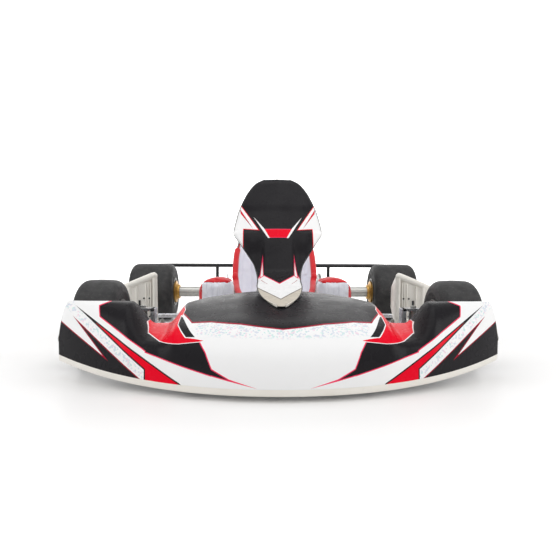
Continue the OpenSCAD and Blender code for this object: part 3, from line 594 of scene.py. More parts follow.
# Share of the way back and of the way up, for each kind of column of the fairing's face
HUMP = [(0, 0), (0, 0.1), (0.004, 0.22), (0.014, 0.33), (0.032, 0.42), (0.07, 0.52), (0.146, 0.655),
        (0.25, 0.735), (0.4, 0.805), (0.58, 0.88), (0.78, 0.95), (1, 1)]
NOTCH = [(0, 0), (0.01, 0.14), (0.025, 0.3), (0.045, 0.45), (0.075, 0.58), (0.115, 0.68), (0.18, 0.75),
         (0.3, 0.81), (0.45, 0.87), (0.62, 0.92), (0.82, 0.97), (1, 1)]
LOBE = [(0, 0), (0.01, 0.1), (0.03, 0.22), (0.06, 0.33), (0.11, 0.45), (0.18, 0.57), (0.27, 0.69),
        (0.38, 0.79), (0.5, 0.87), (0.64, 0.935), (0.82, 0.98), (1, 1)]


# a is the distance from the middle of the kart in each of these
def lip_y(a):
    return NOSE_Y + NOSE_ARC * a * a


def lip_z(a):
    """Height of the lower edge, which rises towards the tips."""
    return LIP_LOW + 32 * (a / 600) ** 3


def crest_z(a):
    """Height of the upper edge: the hump, the notch beside it, then the lobe."""
    if a < NOTCH_X:
        return mix(227 - 27 * (a / 267) ** 2, NOTCH_Z, ramp(HUMP_EDGE - 4, 306, a))
    return mix(mix(NOTCH_Z, LOBE_Z, ramp(338, LOBE_EDGE, a)), 112, max(0, (a - HIP + 38) / 38) ** 2)


def crest_y(a):
    if a < NOTCH_X:
        return mix(-455 - 0.0012 * a * a, -622, ramp(HUMP_EDGE - 40, NOTCH_X, a))
    return mix(-622, -646 + 26 * max(0, (a - 500) / 100) ** 2, ramp(NOTCH_X, LOBE_EDGE, a))


def face_share(t, a):
    """Share of the way back and of the way up at t along the face, from 0 to 11."""
    if a < NOTCH_X:
        w = ramp(HUMP_EDGE - 30, NOTCH_X - 14, a)
        p, q = spline(HUMP, t), spline(NOTCH, t)
    else:
        w = ramp(NOTCH_X + 12, LOBE_EDGE + 14, a)
        p, q = spline(NOTCH, t), spline(LOBE, t)
    return [mix(i, j, w) for i, j in zip(p, q)]


FACE_STEPS, COLUMNS, LIP_ROWS = 66, 300, 5


def fairing_column(x):
    """Lip, rolled corner, face and the flange that turns down behind the upper edge."""
    a = abs(x)
    y0, z0 = lip_y(a), lip_z(a)
    y1, z1 = crest_y(a), crest_z(a)
    out = [(x, y0 + 26, z0 - 18.5), (x, y0 + 12, z0 - 20), (x, y0 + 5, z0 - 18.5), (x, y0 + 2, z0 - 14),
           (x, y0 + 1.2, z0 - 3), (x, y0 + 1.0, z0 - 1.6), (x, y0, z0 - 0.6)]
    for i in range(FACE_STEPS + 1):
        f = face_share(11.0 * i / FACE_STEPS, a)
        out.append((x, mix(y0, y1, f[0]), mix(z0, z1, f[1])))
    out += [(x, y1 + 1.6, z1 - 0.8), (x, y1 + 2.2, z1 - 3.5), (x, y1 + 2.4, z1 - 12)]
    return out


def add_wall(obj, outside, rim):
    """Gives a moulded sheet its wall, with a material for its back and one for its cut edge."""
    obj.data.materials.append(cream_plastic)
    obj.data.materials.append(casting)
    wall = obj.modifiers.new("wall", "SOLIDIFY")
    wall.thickness = 0.0035
    wall.offset = -1.0
    wall.material_offset = outside
    wall.material_offset_rim = rim
    return obj


def build_fairing():
    """Shell of the front fairing with its bare lip."""
    xs = [HIP * (-1 + 2 * i / COLUMNS) for i in range(COLUMNS + 1)]
    bm = bmesh.new()
    grid = [[bm.verts.new(p) for p in fairing_column(x)] for x in xs]
    for a, b in zip(grid, grid[1:]):
        for i in range(len(a) - 1):
            face = bm.faces.new((a[i], b[i], b[i + 1], a[i + 1]))
            if i < LIP_ROWS:
                face.material_index = 1
    # Its back is black: painted shade for the hollow under the shell. Its cut edge is the bare cream plastic.
    return add_wall(finish_mesh("fairing_shell", bm, fairing_film, smooth=38), 2, 1)


declare(build_fairing(), "chassis", "livery", "front_fairing")


# ---------- front panel ----------

PANEL_H, PANEL_Z, PANEL_Y, RAKE, BOW = 424.0, 180, -455, 0.767, 0.0022
CHIN_START, CHIN_REACH, CHIN_TAPER, CHIN_LIFT = 110, 210, 0.128, 22

# Height up the panel and its half width there
PANEL = [(0, 14), (4, 28), (10, 41), (20, 56), (34, 67), (52, 72), (70, 68), (96, 71), (122, 79),
         (152, 100), (183, 122), (206, 140), (222, 153), (240, 151), (268, 145), (300, 138), (337, 124),
         (370, 108), (396, 90), (412, 74), (424, 50)]


def panel_half(h):
    for (h0, w0), (h1, w1) in zip(PANEL, PANEL[1:]):
        if h <= h1:
            return mix(w0, w1, (h - h0) / (h1 - h0))
    return PANEL[-1][1]


def smooth_half(h):
    """Half width with the outline's corners eased, but not at the two ends."""
    if h <= 4 or h >= PANEL_H - 4:
        return panel_half(h)
    return sum(panel_half(max(0, min(PANEL_H, h + d))) for d in (-6, -3, 0, 3, 6)) / 5


def panel_point(x, h, relief):
    """Point on the raked and bowed panel. The chin kicks forwards below its start."""
    kick = max(0.0, 1 - h / CHIN_START) ** 1.5
    y = PANEL_Y + RAKE * h + BOW * x * x + relief - CHIN_REACH * kick
    return x * (1 - CHIN_TAPER * kick), y, PANEL_Z + h + CHIN_LIFT * kick


def build_front_panel():
    """Shield with a centre ridge, hollow cheeks beside the neck and edges that turn back."""
    rows, cols = 150, 72
    bm = bmesh.new()
    grid = []
    for i in range(rows + 1):
        h = PANEL_H * i / rows
        half = smooth_half(h)
        line = []
        for k in range(cols + 1):
            s = -1 + 2 * k / cols
            x = s * half
            a = abs(x)
            ridge = -11.0 * max(0.0, 1 - a / 38.0) ** 1.3
            neck = ramp(40, 90, h) * (1 - ramp(150, 225, h))
            cheek = 15.0 * neck * ramp(44, 56, a) * (1 - 0.55 * ramp(66, 84, a))
            shoulder = -9.0 * ramp(150, 200, h) * (1 - ramp(228, 238, h)) * ramp(58, 90, a)
            inside = 1 - ramp(0, 10, a - 40 - (h - 205) * 0.72)
            step = 5.0 * ramp(236, 245, h) * (1 - ramp(300, 330, h)) * inside
            turn = 9.0 * ramp(0.93, 1.0, abs(s)) ** 2
            top = 10.0 * ramp(404, 424, h) ** 2
            line.append(bm.verts.new(panel_point(x, h, ridge + cheek + shoulder + step + turn + top)))
        grid.append(line)
    grid_faces(bm, grid)
    # Its back is the bare cream plastic. Its cut edge is black: a painted shade line along the panel's rim.
    return add_wall(finish_mesh("front_shield", bm, panel_film, smooth=40), 1, 2)


def build_panel_shade_edging():
    """Thin black tube round the panel, from one side of the chin over the visor to the other: a painted shade
    line along the panel's rim.
    """
    side = []
    for i in range(121):
        h = PANEL_H * i / 120
        side.append(panel_point(smooth_half(h), h, 9.0 + 10.0 * ramp(404, 424, h) ** 2))
    bm = bmesh.new()
    add_tube(bm, side + [(-x, y, z) for x, y, z in reversed(side)], 1.5, sides=8)
    return finish_mesh("shield_shade_edging", bm, casting, smooth=60)


declare(build_front_panel(), "chassis", "livery", "front_panel")
# Black edging: painted shade along the front panel's rim.
declare(build_panel_shade_edging(), "chassis", "black_casting")


# ---------- frame tubes ----------

RAIL = [(x, y, RAIL_Z) for x, y in ((330, 740), (330, 430), (290, 250), (290, -240), (338, -380),
                                    (338, -480), (290, -600), (200, -640), (0, -640))]


def add_weld(bm, centre, direction, radius, seed):
    """Rippled bead round a tube where it meets another."""
    turn = Vector((0, 0, 1)).rotation_difference(Vector(direction).normalized()).to_matrix()
    path = []
    rng = random.Random(seed)
    for k in range(49):
        a = 2 * math.pi * k / 48
        wave = 1 + 0.012 * math.sin(a * 16) + 0.01 * rng.random()
        path.append(Vector(centre) + turn @ Vector((radius * wave * math.cos(a), radius * wave * math.sin(a),
                                                    0.6 * math.sin(a * 16))))
    add_tube(bm, path, 2.2, sides=8)


def tubes(name, material, slot, runs, nodes, body="chassis", welds=(), mirror=False, sides=28):
    """One object for each side, or one in all, made of swept tubes: (path, radius, bend)."""
    for label, sign in (SIDES if mirror else (("", 1),)):
        bm = bmesh.new()
        for path, radius, bend in runs:
            add_tube(bm, rounded_path(path, bend) if bend else path, radius, sides=sides)
        for k, (centre, direction, radius) in enumerate(welds):
            add_weld(bm, centre, direction, radius, k)
        if sign < 0:
            bmesh.ops.scale(bm, vec=(-1, 1, 1), verts=bm.verts)
        obj = finish_mesh(f"{name}_{label}" if label else name, bm, material, smooth=50)
        declare(obj, body, slot, *[f"{n}_{label}" if label else n for n in nodes])


tubes("rail", frame_steel, "frame_steel", [(RAIL, 15, 70)], ["frame_rail"], mirror=True,
      welds=[((0, -640, 55), (1, 0, 0), 15.2)])
for node, y, reach in (("front_cross_member", -430, 325), ("seat_cross_member", 40, 277),
                       ("rear_cross_member", 722, 317)):
    tubes(f"{node}_tube", frame_steel, "frame_steel", [([(-reach, y, 55), (reach, y, 55)], 14, 0)], [node],
          welds=[((s * (reach - 1), y, 55), (1, 0, 0), 15.2) for s in (-1, 1)])

NOSE_LOW = [(-225, -641, 55), (-225, -775, 55), (225, -775, 55), (225, -641, 55)]
NOSE_HIGH = [(-120, -651, 70), (-120, -694, 132), (-120, -748, 132), (120, -748, 132), (120, -694, 132),
             (120, -651, 70)]
tubes("nose_bumper", frame_steel, "frame_steel", [(NOSE_LOW, 10, 40), (NOSE_HIGH, 10, 24)], ["front_bumper"],
      welds=[((s * 225, -645, 55), (0, 1, 0), 10.6) for s in (-1, 1)]
      + [((s * 120, -652, 72), (0, -0.57, 0.82), 10.6) for s in (-1, 1)])

SIDE_BAR = [(307, -120, 55), (570, -120, 55), (570, 330, 55), (312, 330, 55)]
POD_STAY = [(570, -30, 60), (570, -30, 150), (570, 230, 150), (570, 230, 60)]
tubes("pod_bar", frame_steel, "frame_steel",
      [(SIDE_BAR, 10, 70), (POD_STAY, 10, 40), ([(570, 20, 152), (570, 20, 196)], 7, 0),
       ([(570, 180, 152), (570, 180, 184)], 7, 0)], ["side_bumper"], mirror=True,
      welds=[((307, -120, 55), (1, 0, 0), 10.6), ((313, 330, 55), (1, 0, 0), 10.6),
             ((570, -30, 66), (0, 0, 1), 10.6), ((570, 230, 66), (0, 0, 1), 10.6),
             ((570, 20, 161), (0, 0, 1), 7.6), ((570, 180, 161), (0, 0, 1), 7.6)])

TAIL_RUNS = [([(-602, 830, z), (-548, 865, z), (548, 865, z), (602, 830, z)], 10, 60) for z in (265, 130)]
TAIL_RUNS += [([(s * 303, 865, 262), (s * 303, 865, 55), (s * 330, 742, 55)], 8.6, 46) for s in (-1, 1)]
tubes("tail_bumper", bumper_black, "bumper_black", TAIL_RUNS, ["rear_bumper"],
      welds=[((s * 303, 865, 140), (0, 0, 1), 9.2) for s in (-1, 1)]
      + [((s * 303, 865, 120), (0, 0, 1), 9.2) for s in (-1, 1)])

tubes("panel_stay", zinc_steel, "zinc_steel",
      [([(-40, -198, 281), (-58, -232, 400), (58, -232, 400), (40, -198, 281)], 6, 16),
       ([(26, -232, 400), (26, -274, 400)], 5, 0), ([(-26, -232, 400), (-26, -274, 400)], 5, 0)],
      ["front_panel_bracket"])


# ---------- kingpin yokes, bearing carriers, struts ----------

def yoke(bm):
    """Upright web with a pocket for the steering arm, a foot on the rail and two round-nosed plates."""
    add_box(bm, (378, -450, 58), (392, -410, 91.1), 2.0, 3)
    add_box(bm, (378, -449, 88), (383.5, -417, 107), 1.0, 2)
    add_box(bm, (378, -450, 104.4), (392, -410, 171.3), 2.0, 3)
    add_box(bm, (349, -450, 47), (392, -410, 67), 3.0, 3)
    for z in (83.2, 163.3):
        rings = []
        for k in range(33):
            a = -math.pi / 2 + math.pi * k / 32
            rings.append((418 + 20 * math.cos(a), -430 + 20 * math.sin(a)))
        outline = rings + [(380, -410), (380, -450)]
        low = [bm.verts.new((x, y, z)) for x, y in outline]
        high = [bm.verts.new((x, y, z + 8)) for x, y in outline]
        bm.faces.new(low)
        bm.faces.new(high)
        add_walls(bm, low, high)


declare(finish_mesh("kingpin_plates", joined(yoke), frame_steel, smooth=35), "chassis", "frame_steel",
        "kingpin_yokes")


def bearing_carrier(bm, sign):
    """Cast carrier with a split clamp, a stiffening foot and two clamp bolts."""
    x = sign * 330
    profile = [(40, -12), (48.5, -12), (50, -10.5), (50, 10.5), (48.5, 12), (40, 12)]
    add_turned(bm, profile, (x, *AXLE[1:]), 96)
    add_box(bm, (x - 11.5, 578, 71), (x + 11.5, 662, 86), 2.5, 3)
    add_box(bm, (x - 11, 581, 84), (x + 11, 598, 122), 2.5, 3)
    add_box(bm, (x - 11, 642, 84), (x + 11, 659, 122), 2.5, 3)
    add_box(bm, (x - 4, 596, 84), (x + 4, 644, 96), 1.0, 2)
    for y in (588, 652):
        add_hex(bm, (x, y, 122), (0, 0, 1), 7.5, 6, bevel=0)


bm = bmesh.new()
for sign in (1, -1):
    bearing_carrier(bm, sign)
declare(finish_mesh("axle_carriers", bm, machined, smooth=35), "chassis", "machined_aluminium",
        "bearing_carriers")


# ---------- side pods ----------

POD_X, POD_Y = (428, 640), (-180, 430)
ROOF_FALL = 0.42


def pod_outline(grow, r, z):
    """Rounded rectangle in plan. Its inner side runs outwards, and its top falls back and outwards."""
    x0, x1, y0, y1 = POD_X[0] - grow, POD_X[1] + grow, POD_Y[0] - grow, POD_Y[1] + grow
    out = []
    corners = (x1 - r, y1 - r, 0), (x0 + r, y1 - r, 90), (x0 + r, y0 + r, 180), (x1 - r, y0 + r, 270)
    for cx, cy, start in corners:
        for k in range(9):
            a = math.radians(start + 11.25 * k)
            x, y = cx + r * math.cos(a), cy + r * math.sin(a)
            inner = POD_X[0] + max(0.0, y - POD_Y[0] - 40) * 0.21
            x = POD_X[1] - (POD_X[1] - x) * (POD_X[1] - inner) / (POD_X[1] - POD_X[0])
            fall = max(0.0, y - POD_Y[0] - 60) * 0.0699 + max(0.0, x - POD_X[0] - 14) * ROOF_FALL
            out.append((x, y, z - fall * ramp(120, 240, z)))
    return out


def build_pod(bm):
    """Hollow moulding with a rolled top edge and a flange at the foot."""
    profile = [(-4, 34, 88), (0.5, 36, 88), (1.5, 37, 90), (1.5, 37, 93), (0, 36, 95.5), (-0.6, 35, 104),
               (-1.2, 34, 180), (-2.0, 34, 244), (-3.0, 33, 256), (-6.5, 31, 264), (-12, 28, 268.6),
               (-20, 24, 270),
               (-26, 20, 269.2), (-29, 18, 267.0), (-32, 16, 265.6), (-60, 12, 264.8)]
    rows = add_loft(bm, [pod_outline(g, r, z) for g, r, z in profile])
    bm.faces.new(rows[-1])
    inside = [(-4, 34, 88), (-4, 34, 150), (-5.4, 32, 240), (-9, 29, 258), (-16, 24, 264), (-60, 12, 261)]
    inner = add_loft(bm, [pod_outline(g, r, z) for g, r, z in inside])
    bm.faces.new(inner[-1])


def pod_front_details(bm):
    """Raised frame, upright ribs and bolt heads on the face that looks forward."""
    y = -180.5
    brow = [(436, -172, 257), (521, -172, 257 - 79 * ROOF_FALL)]
    add_tube(bm, brow, 12.0, sides=20)
    for end in brow:
        add_ball(bm, end, 12.0)
    add_tube(bm, rounded_path([(521, -174, 222), (521, -174, 99), (436, -177, 99), (433, -177, 120),
                               (433, -177, 250)], 12), 8.0, sides=16)
    add_tube(bm, rounded_path([(496, y, 106), (496, y, 222)], 2), 3.4, sides=10)
    for x in (447, 455, 463):
        rib = [(x, y + 1.5, 124), (x, y - 0.4, 130), (x, y - 0.4, 226), (x, y + 1.5, 232)]
        add_tube(bm, rib, 2.5, sides=10)
    for z in (128, 178):
        add_hex(bm, (600, y + 1, z), (0, -1, 0), 6.2, 3.2, sides=20, bevel=0.8)
        add_hex(bm, (600, y - 2, z), (0, -1, 0), 3.2, 2.2, sides=6, bevel=0)


def pod_openings_shade(bm):
    """Black pieces painted as the shade inside a slot and four holes in the front face and a row of vents on
    the outer side.
    """
    add_box(bm, (482, -181.6, 113), (489, -179.6, 171), 0.4, 1)
    for x in (451, 470):
        for z in (114, 178):
            add_hex(bm, (x, -180.2, z), (0, -1, 0), 3.0, 3.4, sides=16, bevel=0.3)
    for k in range(7):
        y = -110 + k * 26
        add_box(bm, (638.2, y, 112), (639.9, y + 12, 160), 0.5, 1)


for (label, sign), body, trim, openings_shade in zip(SIDES, mirrored(build_pod), mirrored(pod_front_details),
                                            mirrored(pod_openings_shade)):
    pod = finish_mesh(f"pod_{label}", body, cream_plastic, smooth=42)
    declare(pod, "chassis", "pod_plastic", f"side_pod_{label}")
    declare(finish_mesh(f"pod_trim_{label}", trim, cream_plastic, smooth=40), "chassis", "pod_plastic")
    # Black slot, holes and vents: painted shade for the openings in the pod.
    declare(finish_mesh(f"pod_vent_shade_{label}", openings_shade, casting, smooth=40), "chassis", "black_casting")


# ---------- seat ----------

# Along the middle of the seat face: y, z, half width and depth of the hollow
SEAT = [(100, 118, 118, 34), (155, 84, 150, 80), (225, 60, 168, 122), (310, 47, 176, 150),
        (395, 51, 181, 172), (468, 82, 184, 186), (518, 138, 184, 186), (550, 208, 184, 172),
        (576, 284, 182, 138), (598, 362, 172, 94), (617, 440, 156, 58), (632, 505, 132, 36),
        (640, 540, 104, 24)]


def seat_point(t, angle, lift=0.0):
    """Point on the seat face at t along its length and an angle across it, lifted off the face."""
    p = spline(SEAT, t)
    ahead = spline(SEAT, min(12, t + 0.02))
    behind = spline(SEAT, max(0, t - 0.02))
    run = Vector((ahead[0] - behind[0], ahead[1] - behind[1])).normalized()

    def at(deg):
        r = math.radians(deg)
        x = p[2] * math.copysign(abs(math.sin(r)) ** 0.7, r)
        rise = p[3] * (1 - max(0.0, math.cos(r)) ** 0.7)
        return x, rise

    x, rise = at(angle)
    if lift:
        xa, ra = at(min(89.9, angle + 0.5))
        xb, rb = at(max(-89.9, angle - 0.5))
        n = Vector((-(ra - rb), xa - xb)).normalized()
        x, rise = x + n.x * lift, rise + n.y * lift
    return Vector((x, p[0] - run.y * rise, p[1] + run.x * rise))


def build_seat_shell():
    """Laminated bucket with a thin wall."""
    rows, cols = 110, 64
    bm = bmesh.new()
    grid = [[bm.verts.new(seat_point(12.0 * i / rows, -90 + 180 * k / cols, -0.3)) for k in range(cols + 1)]
            for i in range(rows + 1)]
    grid_faces(bm, grid)
    obj = finish_mesh("seat_bucket", bm, seat_laminate, smooth=60)
    thick = obj.modifiers.new("wall", "SOLIDIFY")
    thick.thickness = 0.0045
    thick.offset = -1.0
    return obj


def build_seat_rim():
    """Padded red rim along each wing and thin piping round the back rest."""
    bm = bmesh.new()
    for side in (-1, 1):
        wing = [seat_point(0.9 + 7.5 * i / 70, side * 89.5, 5) for i in range(71)]
        add_tube(bm, wing, 13.5, sides=18)
        for end in (wing[0], wing[-1]):
            add_ball(bm, end, 13.5)
    edge = [seat_point(8.3 + 3.3 * i / 40, -83, 4) for i in range(41)]
    edge += [seat_point(11.6, -83 + 166 * k / 30, 4) for k in range(1, 30)]
    edge += [seat_point(11.6 - 3.3 * i / 40, 83, 4) for i in range(41)]
    add_tube(bm, edge, 4.0, sides=12)
    return finish_mesh("seat_piping", bm, seat_red, smooth=60)


def fabric(name, colour, other):
    """Woven seat cloth: crossed threads with a soft nap."""
    n = Nodes(name)
    waves = []
    for axis in ("X", "Z"):
        wave = n.new("ShaderNodeTexWave", bands_direction=axis)
        wave.inputs["Scale"].default_value = 420.0
        wave.inputs["Distortion"].default_value = 1.2
        n.link(n.coords, wave.inputs["Vector"])
        waves.append(wave.outputs["Fac"])
    weave = n.math("MULTIPLY", waves[0], waves[1])
    tone = n.mix(n.span(n.noise(22.0, 5.0), 0.35, 0.7), colour, other)
    n.set(Base_Color=n.mix(n.math("MULTIPLY", weave, 0.18), tone, tuple(c * 0.8 for c in other)),
          Roughness=n.span(n.noise(60.0, 4.0), 0.3, 0.7, 0.68, 0.85), Sheen_Weight=0.35,
          Specular_IOR_Level=0.3)
    first = n.bump(weave, 0.3, 0.0005)
    n.bump(n.noise(70.0, 4.0), 0.15, 0.001, after=first)
    return n.material


seat_cloth = fabric("seat_cover", (0.86, 0.87, 0.94), (0.80, 0.81, 0.90))
seat_red = fabric("seat_piping", (0.72, 0.012, 0.02), (0.62, 0.010, 0.018))


def seat_pad(name, t0, t1, angles, rise, ribs):
    """Crowned foam pad on the seat face: quilted across its width, pressed down along its seams."""
    rows, cols = 96, 60
    bm = bmesh.new()
    front, back = [], []
    for i in range(rows + 1):
        u = i / rows
        t = mix(t0, t1, u)
        edge_u = min(1.0, min(u, 1 - u) / 0.04)
        row_f, row_b = [], []
        for k in range(cols + 1):
            v = k / cols
            angle = mix(angles[0], angles[1], v)
            edge_v = min(1.0, min(v, 1 - v) / 0.05)
            crown = math.sqrt(max(0.0, 1 - (1 - edge_u) ** 2)) * math.sqrt(max(0.0, 1 - (1 - edge_v) ** 2))
            quilt = 0.0
            for s in ribs:
                quilt += math.exp(-((v - s) / 0.012) ** 2)
            for s in (0.2, 0.4, 0.6, 0.8):
                quilt += 0.8 * math.exp(-((u - s - 0.02 * math.sin(6 * v)) / 0.007) ** 2)
            pucker = 0.5 * math.sin(70 * u + 9 * v) * math.sin(38 * v + 3 * u)
            lift = 1.2 + (rise + pucker) * crown * (1 - 0.55 * min(1.0, quilt))
            row_f.append(bm.verts.new(seat_point(t, angle, lift)))
            row_b.append(bm.verts.new(seat_point(t, angle, 0.7)))
        front.append(row_f)
        back.append(row_b)
    grid_faces(bm, front)
    for a, b in zip(back, back[1:]):
        for k in range(cols):
            bm.faces.new((a[k], b[k], b[k + 1], a[k + 1]))
    for i in range(rows):
        bm.faces.new((front[i][0], front[i + 1][0], back[i + 1][0], back[i][0]))
        bm.faces.new((front[i][cols], back[i][cols], back[i + 1][cols], front[i + 1][cols]))
    for k in range(cols):
        bm.faces.new((front[0][k], back[0][k], back[0][k + 1], front[0][k + 1]))
        bm.faces.new((front[rows][k], front[rows][k + 1], back[rows][k + 1], back[rows][k]))
    return finish_mesh(name, bm, seat_cloth, smooth=60)


seat = declare(build_seat_shell(), "chassis", "seat_laminate", "seat_shell")
cover = declare(seat_pad("seat_cover", 0.5, 11.5, (-76, 76), 10.5, (0.13, 0.3, 0.7, 0.87)), "chassis",
                "seat_cover", "seat_liner")
declare(build_seat_rim(), "chassis", "seat_cover")


# ---------- hip bolsters ----------

MOST_SWELL = 0.007
RIBS, RIB_WIDTH, SEAM_DEPTH = (214, 236, 258, 280), 2.6, 3.0
BAND_X, BAND_Z = 302, 216


def bolster_outline(grow):
    """Front outline of the left bolster in x and z, counterclockwise, grown or shrunk."""
    path = [(184, 74), (310, 74), (310, 198), (303, 215), (288, 226), (270, 228), (184, 228)]
    centre = Vector((247, 150))
    fine = rounded_path([(p[0], 0, p[1]) for p in path + [path[0], path[1]]], 13, step=10)[1:-1]
    out = []
    for p in fine:
        d = Vector((p.x - centre.x, p.z - centre.y))
        out.append(centre + d * (1 + grow / d.length))
    return out


def build_bolster(name, sign):
    """Stuffed pad with red side bands. It is blown up as cloth, then ribbed by its seams."""
    bm = bmesh.new()
    rings = []
    for y, grow in ((121, -26), (121, -9), (124, -3), (130, 0), (189, 1), (248, 0), (254, -3), (257, -9),
                    (257, -26)):
        rings.append([(sign * p.x, y, p.y) for p in bolster_outline(grow)])
    add_loft(bm, rings, caps=True)
    obj = finish_mesh(name, bm, seat_cloth, smooth=None)
    bpy.context.view_layer.objects.active = obj
    remesh = obj.modifiers.new("even", "REMESH")
    remesh.mode = "VOXEL"
    remesh.voxel_size = 0.005
    apply_modifiers(obj)
    rest = [v.co.copy() for v in obj.data.vertices]
    cloth = obj.modifiers.new("fill", "CLOTH")
    cloth.settings.use_pressure = True
    cloth.settings.uniform_pressure_force = 4.0
    cloth.settings.tension_stiffness = 40
    cloth.settings.compression_stiffness = 40
    cloth.settings.bending_stiffness = 0.6
    cloth.settings.effector_weights.gravity = 0.0
    cloth.point_cache.frame_start = 1
    cloth.point_cache.frame_end = 20
    for f in range(1, 21):
        bpy.context.scene.frame_set(f)
        bpy.context.view_layer.update()
    apply_modifiers(obj)
    bpy.context.scene.frame_set(1)
    for v, r in zip(obj.data.vertices, rest):
        move = v.co - r
        if move.length > MOST_SWELL:
            v.co = r + move.normalized() * MOST_SWELL
    smooth = obj.modifiers.new("smooth", "SUBSURF")
    smooth.levels = 1
    apply_modifiers(obj)
    for v in obj.data.vertices:
        x, y, z = abs(v.co.x) / MM, v.co.y / MM, v.co.z / MM
        press = 0.0
        if 192 < x < 303 and z < 214:
            for at in RIBS:
                press += math.exp(-((x - at) / RIB_WIDTH) ** 2)
        press += 1.1 * math.exp(-((x - BAND_X) / 2.0) ** 2)
        press += 1.1 * math.exp(-((z - BAND_Z) / 2.0) ** 2)
        push = min(1.0, press) * SEAM_DEPTH * MM
        if y < 150:
            v.co.y += push * (1 if y < 135 else 0.4)
        elif y > 228:
            v.co.y -= push * (1 if y > 243 else 0.4)
        if z > 190:
            v.co.z -= push * 0.8
        v.co.z = max(v.co.z, 72.5 * MM)
    obj.data.materials.append(seat_red)
    for poly in obj.data.polygons:
        if abs(poly.center.x) > BAND_X * MM or poly.center.z > BAND_Z * MM:
            poly.material_index = 1
    obj.data.shade_smooth()
    return obj


def apply_modifiers(obj):
    """Bakes the modifiers into the mesh."""
    depsgraph = bpy.context.evaluated_depsgraph_get()
    depsgraph.update()
    mesh = bpy.data.meshes.new_from_object(obj.evaluated_get(depsgraph))
    old = obj.data
    obj.modifiers.clear()
    obj.data = mesh
    bpy.data.meshes.remove(old)


for label, sign in SIDES:
    bolster = build_bolster(f"hip_bolster_{label}", sign)
    declare(bolster, "chassis", "seat_cover", f"seat_bolster_{label}")


# ---------- wheels ----------

BEAD = 63.5  # radius of the rim where the tyre sits


def tyre_profile(out, half, shoulder, wall):
    """Closed section: rounded tread with a slight crown, square shoulders, a scuff rib and a bead."""
    pts = []
    flat = half - shoulder
    for k in range(-10, 11):
        u = k / 10
        pts.append((out - 1.6 * u * u, flat * u))
    side = []
    for k in range(1, 13):
        a = math.radians(90 * k / 12)
        side.append((out - 1.6 - shoulder + shoulder * math.cos(a), flat + shoulder * math.sin(a)))
    foot = out - shoulder
    side += [(foot - 6, half + 0.2), (foot - 9, half + 1.4), (foot - 12, half + 1.4), (foot - 15, half + 0.1),
             (BEAD + 22, half - 0.4), (BEAD + 15, half - 1.6),
             (BEAD + 9, half - 3.2), (BEAD + 6.6, half - 4.4), (BEAD + 0.3, half - 4.4)]
    inner = [(BEAD + 0.3, half - 16), (BEAD + 12, half - 14), (out - wall - shoulder, half - wall),
             (out - wall - shoulder * 0.3, half - wall - shoulder * 0.5), (out - wall - 1, flat - 2)]
    right = side + inner
    left = [(r, -x) for r, x in reversed(right)]
    return left + pts + right


def build_tyre(bm, centre, out, half, shoulder, wall):
    """Tyre with a raised line and a ring of small pips on each sidewall."""
    add_turned(bm, tyre_profile(out, half, shoulder, wall), centre, 144)
    r = BEAD + 26
    for s in (-1, 1):
        add_turned(bm, [(r, s * (half - 0.8)), (r, s * (half + 0.5)), (r + 1.2, s * (half + 0.5)),
                        (r + 1.2, s * (half - 0.8))], centre, 96)
        for k in range(24):
            a = 2 * math.pi * k / 24
            c = Vector((centre[0] + s * (half - 0.6), centre[1] + (BEAD + 19) * math.cos(a),
                        centre[2] + (BEAD + 19) * math.sin(a)))
            add_hex(bm, c, (s, 0, 0), 1.3, 1.0, sides=8, bevel=0)


def rim_profile(half):
    """Closed section of a two-piece rim: flanges, bead humps, drop centre."""
    return [(BEAD, 4 - half), (BEAD + 5.5, 3.6 - half), (BEAD + 6, 1 - half), (BEAD + 5, -half),
            (BEAD - 3, -half), (BEAD - 4, 1 - half), (BEAD - 4, 18 - half), (BEAD - 8, 22 - half),
            (BEAD - 9, 26 - half), (BEAD - 9, -5), (BEAD - 11, -3), (BEAD - 11, 3), (BEAD - 9, 5),
            (BEAD - 9, half - 26), (BEAD - 8, half - 22), (BEAD - 4, half - 18), (BEAD - 4, half - 1),
            (BEAD - 3, half), (BEAD + 5, half), (BEAD + 6, half - 1), (BEAD + 5.5, half - 3.6),
            (BEAD, half - 4),
            (BEAD - 0.2, half - 15), (BEAD + 0.15, half - 17), (BEAD - 1, half - 19), (BEAD - 5, half - 24),
            (BEAD - 5, 24 - half), (BEAD - 1, 19 - half), (BEAD + 0.15, 17 - half), (BEAD - 0.2, 15 - half)]


def build_rim(bm, centre, half, disc_at, disc_r, disc_hole):
    """Rim barrel with a mounting disc and the ring of bolts that joins its halves."""
    add_turned(bm, rim_profile(half), centre, 120)
    x = disc_at
    add_turned(bm, [(disc_hole, x), (disc_r, x), (disc_r, x + 5), (disc_r - 7, x + 5), (disc_r - 10, x + 3.6),
                    (disc_hole + 12, x + 3.6), (disc_hole + 9, x + 5), (disc_hole, x + 5)], centre, 96)
    for k in range(9):
        a = 2 * math.pi * (k + 0.5) / 9
        r = (disc_r + disc_hole) / 2 + 1
        c = Vector((centre[0] + x + 3.4, centre[1] + r * math.cos(a), centre[2] + r * math.sin(a)))
        add_hex(bm, c, (1, 0, 0), 3.6, 1.4, sides=18, bevel=0)
    for k in range(6):
        a = 2 * math.pi * k / 6 + 0.3
        c = Vector(centre) + Vector((3, (BEAD - 11) * math.cos(a), (BEAD - 11) * math.sin(a)))
        add_box(bm, (c.x - 5, c.y - 3, c.z - 3), (c.x + 1, c.y + 3, c.z + 3), 0.6, 1)
    valve = Vector((centre[0] + half - 22, centre[1], centre[2] + BEAD - 7))
    add_tube(bm, [valve, valve + Vector((6, 0, -7)), valve + Vector((16, 0, -9))], 2.6, sides=12)


